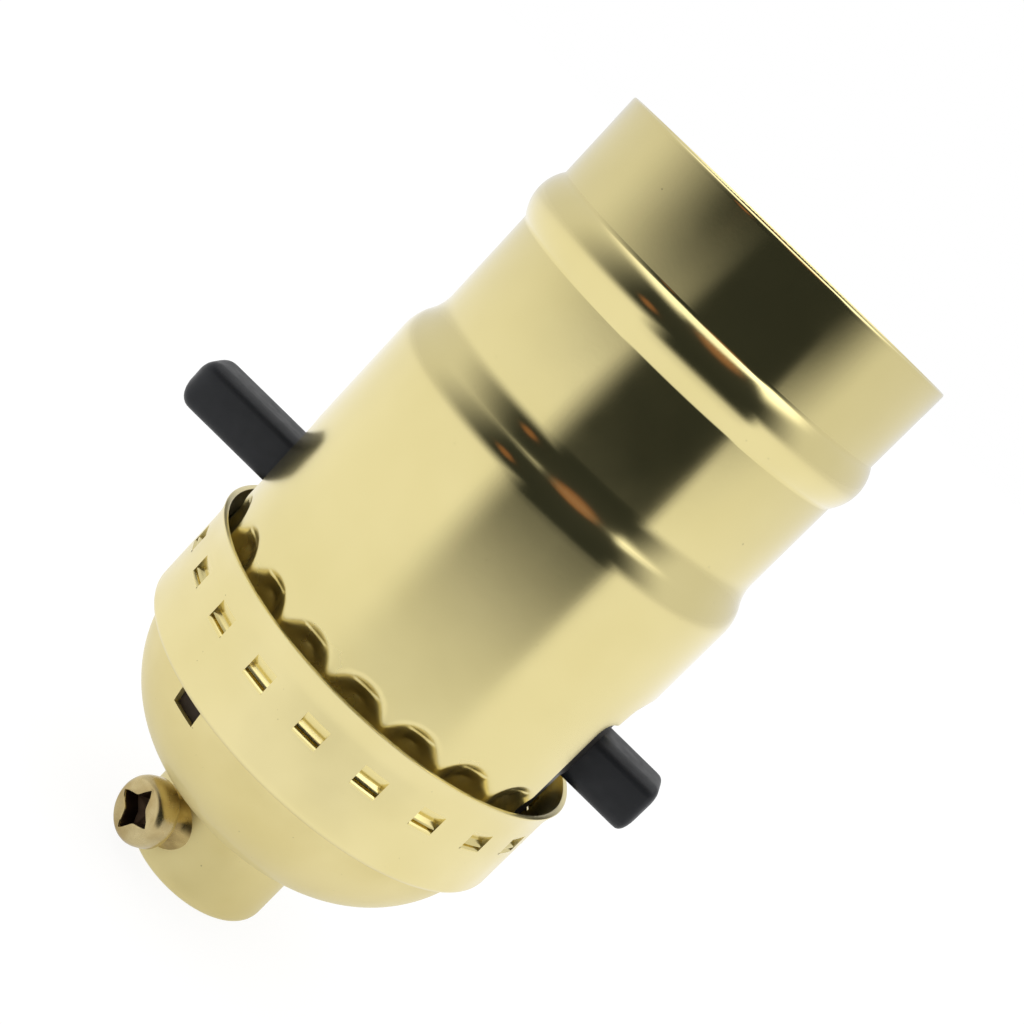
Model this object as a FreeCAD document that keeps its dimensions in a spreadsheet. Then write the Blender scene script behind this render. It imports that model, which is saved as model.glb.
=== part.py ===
"""Lamp holder: a medium-base lamp socket with a push-through switch.

The socket stands on its neck. Its axis is +Z with the bulb's mouth on top, the origin is the middle of the
neck's lower face, and the switch's push bar slides along X. A drawn shell snaps into a cap: tongues lanced
from the cap's wall catch in dimples pressed round the shell's lower edge.

All sizes are in millimetres and angles in degrees.
"""

import FreeCAD
import Part
import Sketcher
import math
import os
from FreeCAD import Placement, Rotation, Vector

DIMENSIONS = {
    # Cap: neck, dome, step, wall and rim
    "cap_sheet": 0.5,
    "neck_radius": 7.1,
    "neck_round": 1.2,
    "neck_lip_radius": 5.4,
    "dome_arc": 11.66,
    "dome_centre_radius": 5.76,
    "dome_centre_height": 19.14,
    "dome_top": 17.45,
    "wall_radius": 18.55,
    "wall_foot": 18.1,
    "flare_foot": 25.2,
    "rim_radius": 18.9,
    "rim_height": 27.3,
    # Cap: one lanced window and its tongue, and the hole in the dome
    "snap_count": 20,
    "window_width": 2.25,
    "window_foot": 22.6,
    "window_height": 1.85,
    "tongue_sheet": 0.35,
    "tongue_reach": 17.66,
    "hole_width": 2.9,
    "hole_foot": 15.8,
    "hole_turn": 29.2,
    # Shell
    "shell_sheet": 0.42,
    "body_radius": 17.82,
    "barrel_radius": 16.6,
    "shell_foot": 21.4,
    "shoulder_foot": 47.1,
    "shoulder_angle": 30,
    "bead_foot": 60.3,
    "bead_top": 64.8,
    "bead_radius": 17.36,
    "mouth_height": 72.6,
    # Shell: one dimple and its tooth
    "dimple_floor": 17.3,
    "dimple_radius": 2.1,
    "dimple_low": 24.9,
    "dimple_high": 26.4,
    "dimple_slope": 45,
    "tooth_width": 2.4,
    "tooth_foot": 24.9,
    "tooth_top": 28.3,
    "tooth_height": 0.22,
    # Shell: slots for the push bar
    "slot_width": 12.4,
    "slot_top": 37.1,
    "slot_corner": 1.2,
    "slot_turn": 7.3,
    "land_face": 17.35,
    "land_width": 9.0,
    "land_top": 39.8,
    # Push bar
    "bar_left": 25.2,
    "bar_right": 26.35,
    "bar_side": 4.7,
    "bar_corner": 1.1,
    "bar_left_crown": 2.75,
    "bar_right_crown": 5.0,
    "bar_end_side": 5.04,
    "bar_end_from": 19.85,
    "bar_height": 31.9,
    "bar_travel": 5.4,
    "running_gap": 0.06,
    # Phenolic blocks
    "base_foot": 18.37,
    "base_flange": 17.7,
    "base_radius": 16.75,
    "collar_radius": 16.95,
    "collar_foot": 30.0,
    "parting": 36.2,
    "block_radius": 15.2,
    "block_top": 46.4,
    "chamber_half": 9.0,
    "chamber_width": 6.4,
    "chamber_foot": 27.6,
    "pocket_width": 9.6,
    "pocket_left": 7.5,
    "pocket_right": 10.0,
    "pocket_top": 43.4,
    # Switch
    "pin_height": 40.2,
    "pin_radius": 0.8,
    "pin_length": 12.4,
    "hub_radius": 2.2,
    "rocker_width": 1.8,
    "rocker_tip": 1.2,
    "rocker_arm": 8.4,
    "rocker_arm_drop": 13,
    "rivet_x": 4.6,
    # Bulb's side
    "screw_shell_bore": 12.95,
    "screw_shell_sheet": 0.4,
    "screw_shell_top": 70.5,
    "flange_hole": 10.5,
    "liner_radius": 15.95,
    "liner_wall": 0.6,
    "liner_foot": 36.21,
    "liner_top": 71.2,
    "contact_width": 5.0,
    "contact_sheet": 0.5,
    "contact_top": 49.4,
    # Terminals
    "recess_floor": 13.2,
    "recess_width": 9.4,
    "recess_foot": 20.4,
    "recess_top": 29.6,
    "plate_sheet": 0.8,
    "plate_width": 8.8,
    "strap_width": 4.4,
    "terminal_height": 25.0,
    "terminal_head": 3.6,
    "terminal_head_thick": 2.2,
    "terminal_shank": 1.7,
    # Neck: bushing and set screw
    "bushing_radius": 6.55,
    "bushing_bore": 4.6,
    "bushing_flange": 8.6,
    "bushing_flange_foot": 8.45,
    "bushing_top": 9.7,
    "screw_height": 4.35,
    "screw_turn": 35.2,
    "boss_radius": 2.9,
    "boss_face": 8.1,
    "screw_head_radius": 3.0,
    "screw_head_foot": 8.55,
    "screw_head_face": 10.9,
    "screw_shank": 1.95,
    "screw_tip": 5.0,
    "star_tip": 2.1,
    "star_waist": 1.2,
    "star_depth": 1.5,
    # Screws through both blocks
    "stud_radius": 1.6,
    "stud_x": 11.0,
    "stud_y": 7.4,
    "stud_head": 2.7,
    "stud_head_thick": 1.8,
    "stud_top": 43.5,
}

doc = FreeCAD.newDocument("LampHolder")
sheet = doc.addObject("Spreadsheet::Sheet", "Dimensions")
for row, (alias, number) in enumerate(DIMENSIONS.items(), 1):
    sheet.set("A%d" % row, alias)
    sheet.set("B%d" % row, str(number))
    sheet.setAlias("B%d" % row, alias)
doc.recompute()


class Size:
    """A number from the spreadsheet together with the expression that gives it."""

    def __init__(self, value, text):
        self.value = value
        self.text = text

    def __add__(self, other):
        other = size(other)
        return Size(self.value + other.value, "(%s + %s)" % (self.text, other.text))

    def __sub__(self, other):
        other = size(other)
        return Size(self.value - other.value, "(%s - %s)" % (self.text, other.text))

    def __mul__(self, other):
        other = size(other)
        return Size(self.value * other.value, "(%s * %s)" % (self.text, other.text))

    def __truediv__(self, other):
        other = size(other)
        return Size(self.value / other.value, "(%s / %s)" % (self.text, other.text))

    def __neg__(self):
        return Size(-self.value, "(0 - %s)" % self.text)


def size(number):
    """A Size as it is, or a plain number made into one."""
    return number if isinstance(number, Size) else Size(float(number), "(%s)" % float(number))


def dim(alias):
    """The spreadsheet's value of one alias."""
    return Size(float(sheet.get(alias)), "Dimensions." + alias)


def root(a):
    """Square root of a Size."""
    return Size(math.sqrt(a.value), "sqrt(%s)" % a.text)


def sine(a):
    """Sine of a Size in degrees."""
    return Size(math.sin(math.radians(a.value)), "sin(%s)" % a.text)


def cosine(a):
    """Cosine of a Size in degrees."""
    return Size(math.cos(math.radians(a.value)), "cos(%s)" % a.text)


def bind(thing, name, value):
    """Tie one property of a document object to the spreadsheet."""
    thing.setExpression(name, size(value).text)


def new_body(label):
    """A body for one piece; the label becomes its file's name."""
    body = doc.addObject("PartDesign::Body", label)
    body.Label = label
    return body


def origin_of(body, role):
    """One of the body's own origin planes or axes."""
    return [f for f in body.Origin.OriginFeatures if f.Role == role][0]


def new_sketch(body, role, shift=0, turn=0):
    """A sketch on an origin plane, shifted along its normal and turned about Z."""
    sketch = body.newObject("Sketcher::SketchObject", "Sketch")
    sketch.AttachmentSupport = (origin_of(body, role), [""])
    sketch.MapMode = "FlatFace"
    up = Vector(0, 0, 1) if role == "XY_Plane" else Vector(0, 1, 0)
    spin = Rotation(up, turn)
    sketch.AttachmentOffset = Placement(spin.multVec(Vector(0, 0, size(shift).value)), spin)
    if turn == 0:
        bind(sketch, "AttachmentOffset.Base.z", shift)
    return sketch


def tie(sketch, kind, *where):
    """Add one constraint whose value, the last argument, follows the spreadsheet."""
    value = size(where[-1])
    sketch.addConstraint(Sketcher.Constraint(kind, *where[:-1], value.value))
    sketch.setExpression("Constraints[%d]" % (sketch.ConstraintCount - 1), value.text)


def outline(sketch, start, *steps):
    """A closed outline of lines and arcs.

    Each step is (x, y) for a line, or (x, y, radius) for an arc: a positive radius turns the way the
    outline's own left-hand turns do, a negative one the other way. The last step returns to the start.
    """
    points = [start] + [step[:2] for step in steps[:-1]]
    curves = []
    for index, step in enumerate(steps):
        x0, y0 = (size(c).value for c in points[index])
        x1, y1 = (size(c).value for c in step[:2])
        a = Vector(x0, y0, 0)
        b = Vector(x1, y1, 0)
        if len(step) == 2:
            curves.append(sketch.addGeometry(Part.LineSegment(a, b)))
            continue
        radius = abs(size(step[2]).value)
        side = math.copysign(1, size(step[2]).value)
        chord = b - a
        drop = radius - math.sqrt(max(radius ** 2 - (chord.Length / 2) ** 2, 0))
        normal = Vector(chord.y, -chord.x, 0).normalize() * side
        curves.append(sketch.addGeometry(Part.Arc(a, (a + b) / 2 + normal * drop, b)))
    ends = []
    for curve, step in zip(curves, steps):
        geometry = sketch.Geometry[curve]
        reverse = len(step) == 3 and size(step[2]).value < 0
        ends.append((2, 1) if reverse and isinstance(geometry, Part.ArcOfCircle) else (1, 2))
    for index, curve in enumerate(curves):
        after = (index + 1) % len(curves)
        sketch.addConstraint(
            Sketcher.Constraint("Coincident", curve, ends[index][1], curves[after], ends[after][0]))
    for curve, end, (x, y) in zip(curves, ends, points):
        tie(sketch, "DistanceX", -1, 1, curve, end[0], x)
        tie(sketch, "DistanceY", -1, 1, curve, end[0], y)
    for curve, step in zip(curves, steps):
        if len(step) < 3:
            continue
        radius = size(step[2])
        span = sketch.Geometry[curve].StartPoint.distanceToPoint(sketch.Geometry[curve].EndPoint)
        if abs(span - 2 * abs(radius.value)) < 1e-6:
            # A half circle is held by the height of its centre, since its ends already give the radius
            tie(sketch, "DistanceY", -1, 1, curve, 3, step[1])
        else:
            tie(sketch, "Radius", curve, radius if radius.value > 0 else -radius)
    if sketch.solve() != 0:
        raise RuntimeError("a sketch of %s doesn't solve" % sketch.getParentGeoFeatureGroup().Label)
    return sketch


def box_outline(sketch, x0, y0, x1, y1):
    """A rectangle from its lower left to its upper right corner."""
    return outline(sketch, (x0, y0), (x1, y0), (x1, y1), (x0, y1), (x0, y0))


def disc_outline(sketch, x, y, radius):
    """A circle."""
    circle = sketch.addGeometry(Part.Circle(Vector(size(x).value, size(y).value, 0), Vector(0, 0, 1),
                                            size(radius).value))
    tie(sketch, "DistanceX", -1, 1, circle, 3, x)
    tie(sketch, "DistanceY", -1, 1, circle, 3, y)
    tie(sketch, "Radius", circle, radius)
    return sketch


def slot_outline(sketch, radius, low, high):
    """An upright oblong with round ends, on the sketch's vertical axis."""
    return outline(sketch, (-radius, low), (radius, low, radius), (radius, high), (-radius, high, radius),
                   (-radius, low))


def revolve(body, sketch, about="V_Axis"):
    """Turn a profile through a full circle."""
    feature = body.newObject("PartDesign::Revolution", "Revolution")
    feature.Profile = sketch
    feature.ReferenceAxis = (sketch, [about])
    feature.Angle = 360
    doc.recompute()
    return feature


def pad(body, sketch, length, midplane=False, reverse=False):
    """Add a prism over a sketch."""
    feature = body.newObject("PartDesign::Pad", "Pad")
    feature.Profile = sketch
    feature.Length = size(length).value
    bind(feature, "Length", length)
    feature.Midplane = midplane
    feature.Reversed = reverse
    doc.recompute()
    return feature


def pocket(body, sketch, length, midplane=False, reverse=False, taper=0):
    """Cut a prism over a sketch, and check that it does cut."""
    before = body.Shape.Volume
    feature = body.newObject("PartDesign::Pocket", "Pocket")
    feature.Profile = sketch
    feature.Length = size(length).value
    bind(feature, "Length", length)
    feature.Midplane = midplane
    feature.Reversed = reverse
    feature.TaperAngle = size(taper).value
    doc.recompute()
    if feature.Shape.Volume > before - 1e-6:
        raise RuntimeError("a pocket in %s cuts nothing" % body.Label)
    return feature


def pattern(body, features, count):
    """Repeat features evenly round the body's Z axis."""
    feature = body.newObject("PartDesign::PolarPattern", "PolarPattern")
    feature.Originals = features
    feature.Axis = (origin_of(body, "Z_Axis"), [""])
    feature.Angle = 360
    feature.Occurrences = int(size(count).value)
    body.Tip = feature
    doc.recompute()
    return feature


def fillet(body, radius, chosen):
    """Round the edges of the body's tip that a test chooses."""
    doc.recompute()
    base = body.Tip
    names = ["Edge%d" % (i + 1) for i, e in enumerate(base.Shape.Edges) if chosen(e)]
    if not names:
        raise RuntimeError("no edge to round on %s" % body.Label)
    feature = body.newObject("PartDesign::Fillet", "Fillet")
    feature.Base = (base, names)
    feature.Radius = size(radius).value
    bind(feature, "Radius", radius)
    doc.recompute()
    return feature


def along(edge, direction):
    """Whether a straight edge runs along a direction."""
    if not isinstance(edge.Curve, Part.Line):
        return False
    return abs(edge.tangentAt(edge.FirstParameter).dot(direction)) > 0.999


def make_cap():
    """Drawn cap: neck, dome, step and wall in one sheet, with windows, tongues, a hole and a boss."""
    t = dim("cap_sheet")
    neck, lip, bend = dim("neck_radius"), dim("neck_lip_radius"), dim("neck_round")
    arc, rc, zc = dim("dome_arc"), dim("dome_centre_radius"), dim("dome_centre_height")
    wall, foot, top = dim("wall_radius"), dim("wall_foot"), dim("dome_top")
    rim, rim_z, flare = dim("rim_radius"), dim("rim_height"), dim("flare_foot")

    def dome_z(radius, across):
        return zc - root(radius * radius - (across - rc) * (across - rc))

    def dome_r(radius, height):
        return rc + root(radius * radius - (zc - height) * (zc - height))

    inner = arc - t
    body = new_body("cap")
    profile = new_sketch(body, "XZ_Plane")
    outline(profile,
            (lip, 0),
            (neck - bend, 0),
            (neck, bend, bend),
            (neck, dome_z(arc, neck)),
            (dome_r(arc, top), top, arc),
            (wall - 0.25, foot - 0.35),
            (wall, foot, 0.5),
            (wall, flare),
            (rim, rim_z),
            (rim - t, rim_z),
            (wall - t, flare + 0.2),
            (wall - t, foot + 0.45),
            (dome_r(inner, top + 0.45), top + 0.45),
            (neck - t, dome_z(inner, neck - t), -inner),
            (neck - t, bend),
            (neck - bend, t, -(bend - t)),
            (lip, t),
            (lip, 0))
    revolve(body, profile)

    # One window with its tongue, which is hinged at the window's top and leans inward and down
    width, low, tall = dim("window_width"), dim("window_foot"), dim("window_height")
    window = box_outline(new_sketch(body, "XZ_Plane", wall - t * 2), -width / 2, low, width / 2, low + tall)
    cut = pocket(body, window, t * 3, reverse=True)
    reach, thin = dim("tongue_reach"), dim("tongue_sheet")
    high = low + tall
    side = outline(new_sketch(body, "YZ_Plane"),
                   (-(wall - 0.02), high + 0.1),
                   (-(wall - 0.3), high - 0.75, 1.6),
                   (-reach, low + 0.45, -3),
                   (-(reach - thin), low + 0.55),
                   (-(wall - 0.3 - thin), high - 0.6, 3),
                   (-(wall - thin - 0.02), high + 0.1, -1.6),
                   (-(wall - 0.02), high + 0.1))
    tongue = pad(body, side, width - 0.2, midplane=True)
    pattern(body, [cut, tongue], dim("snap_count"))

    # Square hole in the dome, under the step
    wide = dim("hole_width")
    hole = new_sketch(body, "XZ_Plane", wall - 5, -dim("hole_turn").value)
    box_outline(hole, -wide / 2, dim("hole_foot"), wide / 2, top)
    pocket(body, hole, 6, reverse=True)

    # Boss for the set screw, and the hole through it
    turn, height = -dim("screw_turn").value, dim("screw_height")
    boss = disc_outline(new_sketch(body, "XZ_Plane", neck - t, turn), 0, height, dim("boss_radius"))
    pad(body, boss, dim("boss_face") - neck + t)
    clear = dim("screw_shank") + 0.1
    drill = disc_outline(new_sketch(body, "XZ_Plane", neck - 2, turn), 0, height, clear)
    pocket(body, drill, 4, reverse=True)
    return body


def make_shell():
    """Drawn shell: straight mouth, bead, barrel, shoulder and body, with dimples, teeth and bar slots."""
    t = dim("shell_sheet")
    barrel, wide, angle = dim("barrel_radius"), dim("body_radius"), dim("shoulder_angle")
    low, foot, mouth = dim("shell_foot"), dim("shoulder_foot"), dim("mouth_height")
    bend = (wide - barrel) / (size(2) - cosine(angle) * 2)
    half = bend * sine(angle)
    middle = (wide + barrel) / 2
    inset, drop = t * cosine(angle), t * sine(angle)
    bead0, bead1, bulge = dim("bead_foot"), dim("bead_top"), dim("bead_radius")
    rise = bulge - barrel
    chord = (bead1 - bead0) / 2
    ring = (chord * chord + rise * rise) / (rise * 2)
    body = new_body("outer_shell")
    outline(new_sketch(body, "XZ_Plane"),
            (wide, low),
            (wide, foot),
            (middle, foot + half, bend),
            (barrel, foot + half * 2, -bend),
            (barrel, bead0),
            (barrel, bead1, ring),
            (barrel, mouth),
            (barrel - t, mouth),
            (barrel - t, bead1 - 0.2),
            (barrel - t, bead0 + 0.2, -(ring - t)),
            (barrel - t, foot + half * 2),
            (middle - inset, foot + half - drop, bend + t),
            (wide - t, foot, -(bend - t)),
            (wide - t, low),
            (wide, low))
    revolve(body, body.Group[-1])

    # One snap dimple: backed inside, pressed in to a flat floor, with a tooth standing on the floor
    floor, radius = dim("dimple_floor"), dim("dimple_radius")
    below, above = dim("dimple_low"), dim("dimple_high")
    back = slot_outline(new_sketch(body, "XZ_Plane", floor - t), radius + 0.55, below, above)
    backing = pad(body, back, t + 0.25)
    press = slot_outline(new_sketch(body, "XZ_Plane", floor), radius, below, above)
    dimple = pocket(body, press, 1.2, reverse=True, taper=dim("dimple_slope"))
    half_tooth = dim("tooth_width") / 2
    stand = box_outline(new_sketch(body, "XZ_Plane", floor - 0.05),
                        -half_tooth, dim("tooth_foot"), half_tooth, dim("tooth_top"))
    tooth = pad(body, stand, dim("tooth_height") + 0.05)
    pattern(body, [backing, dimple, tooth], dim("snap_count"))

    # Slots for the bar, open below, each under a flattened land
    turn = -dim("slot_turn").value
    span, top, land = dim("slot_width") / 2, dim("slot_top"), dim("land_face")
    edge = dim("land_width") / 2
    pads = []
    cuts = []
    for side in (0, 180):
        inner = new_sketch(body, "YZ_Plane", land - t, turn + side)
        box_outline(inner, -edge, top - 1, edge, dim("land_top") + 0.4)
        pads.append(pad(body, inner, t - 0.02))
    for side in (0, 180):
        flat = new_sketch(body, "YZ_Plane", land, turn + side)
        crown = dim("land_top")
        outline(flat, (-edge, top - 1), (edge, top - 1), (edge, crown - 1.8), (-edge, crown - 1.8, edge + 1.4),
                (-edge, top - 1))
        cuts.append(pocket(body, flat, 2, reverse=True))
    corner = dim("slot_corner")
    slot = new_sketch(body, "YZ_Plane", 0, turn)
    outline(slot,
            (-span, low - 1),
            (span, low - 1),
            (span, top - corner),
            (span - corner, top, corner),
            (corner - span, top),
            (-span, top - corner, corner),
            (-span, low - 1))
    pocket(body, slot, 60, midplane=True)
    return body


def make_bar():
    """Push bar: a rounded square rod with crowned ends, a slot for the rocker and two detent notches.

    Its right end is a little thicker than the rest, up to just outside the base.
    """
    side, wide, z = dim("bar_side") / 2, dim("bar_end_side") / 2, dim("bar_height")
    middle = -dim("bar_travel") / 2
    step = middle + dim("bar_end_from")
    crown = dim("bar_left_crown")
    left = middle - dim("bar_left") + crown - root(crown * crown - side * side)
    body = new_body("push_bar")
    outline(new_sketch(body, "XZ_Plane"),
            (left, z - side),
            (step, z - side),
            (step, z + side),
            (left, z + side),
            (left, z - side, crown))
    pad(body, body.Group[-1], side * 2, midplane=True)
    crown = dim("bar_right_crown")
    right = middle + dim("bar_right") - crown + root(crown * crown - wide * wide)
    outline(new_sketch(body, "XZ_Plane"),
            (step - 0.05, z - wide),
            (right, z - wide),
            (right, z + wide, crown),
            (step - 0.05, z + wide),
            (step - 0.05, z - wide))
    pad(body, body.Group[-1], wide * 2, midplane=True)
    fillet(body, dim("bar_corner"), lambda e: along(e, Vector(1, 0, 0)))

    # Slot for the rocker's tip, flared at its mouth
    gap = dim("rocker_tip") + 0.15
    outline(new_sketch(body, "XZ_Plane"),
            (middle - gap, z - 1.4),
            (middle + gap, z - 1.4),
            (middle + gap, z + 1),
            (middle + gap + 1, z + side + 0.1),
            (middle - gap - 1, z + side + 0.1),
            (middle - gap, z + 1),
            (middle - gap, z - 1.4))
    pocket(body, body.Group[-1], dim("rocker_width") + 0.3, midplane=True)

    # Two notches in the underside, one for each end of the travel
    travel = dim("bar_travel")
    for centre in (middle + travel / 2, middle - travel / 2):
        outline(new_sketch(body, "XZ_Plane"),
                (centre - 1.1, z - side - 0.05),
                (centre + 1.1, z - side - 0.05),
                (centre, z - side + 0.8),
                (centre - 1.1, z - side - 0.05))
        pocket(body, body.Group[-1], side * 2, midplane=True)
    return body


def make_base():
    """Lower phenolic block: guides the bar, holds the detent spring and carries the terminals.

    Its flange stands on the cap's step, and the shell's lower edge stands on the flange.
    """
    foot, radius, top = dim("base_foot"), dim("base_radius"), dim("parting")
    collar, step = dim("collar_radius"), dim("collar_foot")
    flange, seat = dim("base_flange"), dim("shell_foot") - 0.02
    body = new_body("switch_base")
    outline(new_sketch(body, "XZ_Plane"),
            (0, foot),
            (flange, foot),
            (flange, seat),
            (radius, seat),
            (radius, step),
            (collar, step + 0.2),
            (collar, top),
            (0, top),
            (0, foot))
    revolve(body, body.Group[-1])
    channel, z = dim("bar_side") / 2 + dim("running_gap"), dim("bar_height")
    box_outline(new_sketch(body, "YZ_Plane"), -channel, z - channel, channel, z + channel)
    pocket(body, body.Group[-1], 40, midplane=True)
    long, across = dim("chamber_half"), dim("chamber_width")
    box_outline(new_sketch(body, "XZ_Plane"), -long, dim("chamber_foot"), long, top + 1)
    pocket(body, body.Group[-1], across, midplane=True)

    # Terminal recess, cut on both sides, with a hole for its screw
    span = dim("recess_width") / 2
    floor = dim("recess_floor")
    low, high = dim("recess_foot"), dim("recess_top")
    box_outline(new_sketch(body, "XZ_Plane", floor), -span, low, span, high)
    recess = pocket(body, body.Group[-1], 5, reverse=True)
    strap = dim("strap_width") / 2 + 0.15
    box_outline(new_sketch(body, "XZ_Plane", floor), -strap, high - 1, strap, top + 1)
    groove = pocket(body, body.Group[-1], 5, reverse=True)
    drill = dim("terminal_shank") + 0.05
    disc_outline(new_sketch(body, "XZ_Plane", floor - 7), 0, dim("terminal_height"), drill)
    hole = pocket(body, body.Group[-1], 8, reverse=True)
    pattern(body, [recess, groove, hole], 2)

    # Holes and counterbores for the two long screws
    x, y = dim("stud_x"), dim("stud_y")
    disc_outline(new_sketch(body, "XY_Plane", foot - 1), x, -y, dim("stud_radius") + 0.02)
    bore = pocket(body, body.Group[-1], 20, reverse=True)
    disc_outline(new_sketch(body, "XY_Plane", foot - 1), x, -y, dim("stud_head") + 0.1)
    sink = pocket(body, body.Group[-1], dim("stud_head_thick") + 1, reverse=True)
    pattern(body, [bore, sink], 2)
    return body


def make_block():
    """Upper phenolic block: carries the screw shell and houses the rocker in a pocket below."""
    foot, radius, top = dim("parting"), dim("block_radius"), dim("block_top")
    body = new_body("upper_body")
    inside = dim("flange_hole") - 0.1
    outline(new_sketch(body, "XZ_Plane"),
            (0, foot),
            (radius, foot),
            (radius, top),
            (inside, top),
            (inside, top + 0.4),
            (0, top + 0.4),
            (0, foot))
    revolve(body, body.Group[-1])
    outline(new_sketch(body, "XZ_Plane"),
            (-dim("pocket_left"), foot - 1),
            (dim("pocket_right"), foot - 1),
            (dim("pocket_right"), dim("pocket_top")),
            (-dim("pocket_left"), dim("pocket_top")),
            (-dim("pocket_left"), foot - 1))
    pocket(body, body.Group[-1], dim("pocket_width"), midplane=True)
    disc_outline(new_sketch(body, "XZ_Plane"), 0, dim("pin_height"), dim("pin_radius") + 0.01)
    pocket(body, body.Group[-1], dim("pin_length") + 0.2, midplane=True)
    disc_outline(new_sketch(body, "XY_Plane", foot), dim("rivet_x"), 0, 1.21)
    pocket(body, body.Group[-1], 20, reverse=True)

    # Grooves for the straps: the hot one runs in under the block, the neutral one up its side
    strap, floor, thin = dim("strap_width") / 2 + 0.15, dim("recess_floor"), dim("plate_sheet")
    box_outline(new_sketch(body, "XZ_Plane", dim("pocket_width") / 2 - 0.1),
                -strap, foot - 1, strap, foot + thin + 0.1)
    pocket(body, body.Group[-1], 20, reverse=True)
    box_outline(new_sketch(body, "XZ_Plane", -floor), -strap, foot - 1, strap, top + 1)
    pocket(body, body.Group[-1], 10)
    box_outline(new_sketch(body, "XZ_Plane", -(dim("flange_hole") + 0.4)), -strap, top - thin, strap, top + 1)
    pocket(body, body.Group[-1], 10)
    disc_outline(new_sketch(body, "XY_Plane", foot), dim("stud_x"), -dim("stud_y"), dim("stud_radius") + 0.02)
    bore = pocket(body, body.Group[-1], dim("stud_top") - foot + 0.3, reverse=True)
    pattern(body, [bore], 2)
    return body


def make_screw_shell():
    """Screw shell for the bulb's base: a tube with a turned-in flange and a flared mouth."""
    t, bore = dim("screw_shell_sheet"), dim("screw_shell_bore")
    foot, top = dim("block_top"), dim("screw_shell_top")
    body = new_body("screw_shell")
    outline(new_sketch(body, "XZ_Plane"),
            (dim("flange_hole"), foot),
            (bore + t, foot),
            (bore + t, top - 1.2),
            (bore + t + 0.7, top),
            (bore + 0.7, top),
            (bore, top - 1.1),
            (bore, foot + t),
            (dim("flange_hole"), foot + t),
            (dim("flange_hole"), foot))
    revolve(body, body.Group[-1])
    return body


def make_liner():
    """Fibre tube between the shell and the screw shell."""
    out, wall = dim("liner_radius"), dim("liner_wall")
    body = new_body("shell_liner")
    box_outline(new_sketch(body, "XZ_Plane"), out - wall, dim("liner_foot"), out, dim("liner_top"))
    revolve(body, body.Group[-1])
    return body


def make_cap_liner():
    """Fibre cup in the dome, open round the bushing."""
    arc, rc, zc = dim("dome_arc") - dim("cap_sheet"), dim("dome_centre_radius"), dim("dome_centre_height")
    out, inner, hole = arc - 0.02, arc - 0.52, dim("bushing_flange") + 0.6
    top = dim("dome_top")

    def height(radius, across):
        return zc - root(radius * radius - (across - rc) * (across - rc))

    def across(radius, level):
        return rc + root(radius * radius - (zc - level) * (zc - level))

    body = new_body("cap_liner")
    outline(new_sketch(body, "XZ_Plane"),
            (hole, height(out, hole)),
            (across(out, top), top, out),
            (across(inner, top), top),
            (hole, height(inner, hole), -inner),
            (hole, height(out, hole)))
    revolve(body, body.Group[-1])
    return body


def make_bushing():
    """Threaded bushing in the neck, flanged where it rests on the dome's inside."""
    bore, out, flange = dim("bushing_bore"), dim("bushing_radius"), dim("bushing_flange")
    lip, seat = dim("neck_lip_radius") - 0.02, dim("cap_sheet") + 0.01
    step, top = dim("bushing_flange_foot"), dim("bushing_top")
    body = new_body("nipple_bushing")
    outline(new_sketch(body, "XZ_Plane"),
            (bore, 0),
            (lip, 0),
            (lip, seat),
            (out - 0.75, seat),
            (out, seat + 0.75),
            (out, step),
            (flange, step),
            (flange, top),
            (bore, top),
            (bore, 0))
    revolve(body, body.Group[-1])
    drill = new_sketch(body, "XZ_Plane", bore - 0.5, -dim("screw_turn").value)
    disc_outline(drill, 0, dim("screw_height"), dim("screw_shank") + 0.05)
    pocket(body, drill, 4, reverse=True)
    return body


def make_set_screw():
    """Button-head set screw with a four-pointed recess, made along its own axis and turned into place."""
    head, foot, face = dim("screw_head_radius"), dim("screw_head_foot"), dim("screw_head_face")
    shank, tip = dim("screw_shank"), dim("screw_tip")
    body = new_body("set_screw")
    outline(new_sketch(body, "XZ_Plane"),
            (0, tip),
            (shank - 0.4, tip),
            (shank, tip + 0.4),
            (shank, foot),
            (head - 0.25, foot),
            (head, foot + 0.3),
            (head, foot + 0.95),
            (head - 0.9, face, 1.7),
            (0, face),
            (0, tip))
    revolve(body, body.Group[-1])
    points = []
    for corner in range(8):
        reach = dim("star_tip") if corner % 2 == 0 else dim("star_waist")
        points.append((reach * cosine(size(45 * corner)), reach * sine(size(45 * corner))))
    star = new_sketch(body, "XY_Plane", face)
    outline(star, points[0], *points[1:], points[0])
    pocket(body, star, dim("star_depth"))
    upright = Rotation(Vector(1, 0, 0), 90)
    spin = Rotation(Vector(0, 0, 1), -dim("screw_turn").value).multiply(upright)
    body.Placement = Placement(Vector(0, 0, dim("screw_height").value), spin)
    bind(body, "Placement.Base.z", dim("screw_height"))
    return body


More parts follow.
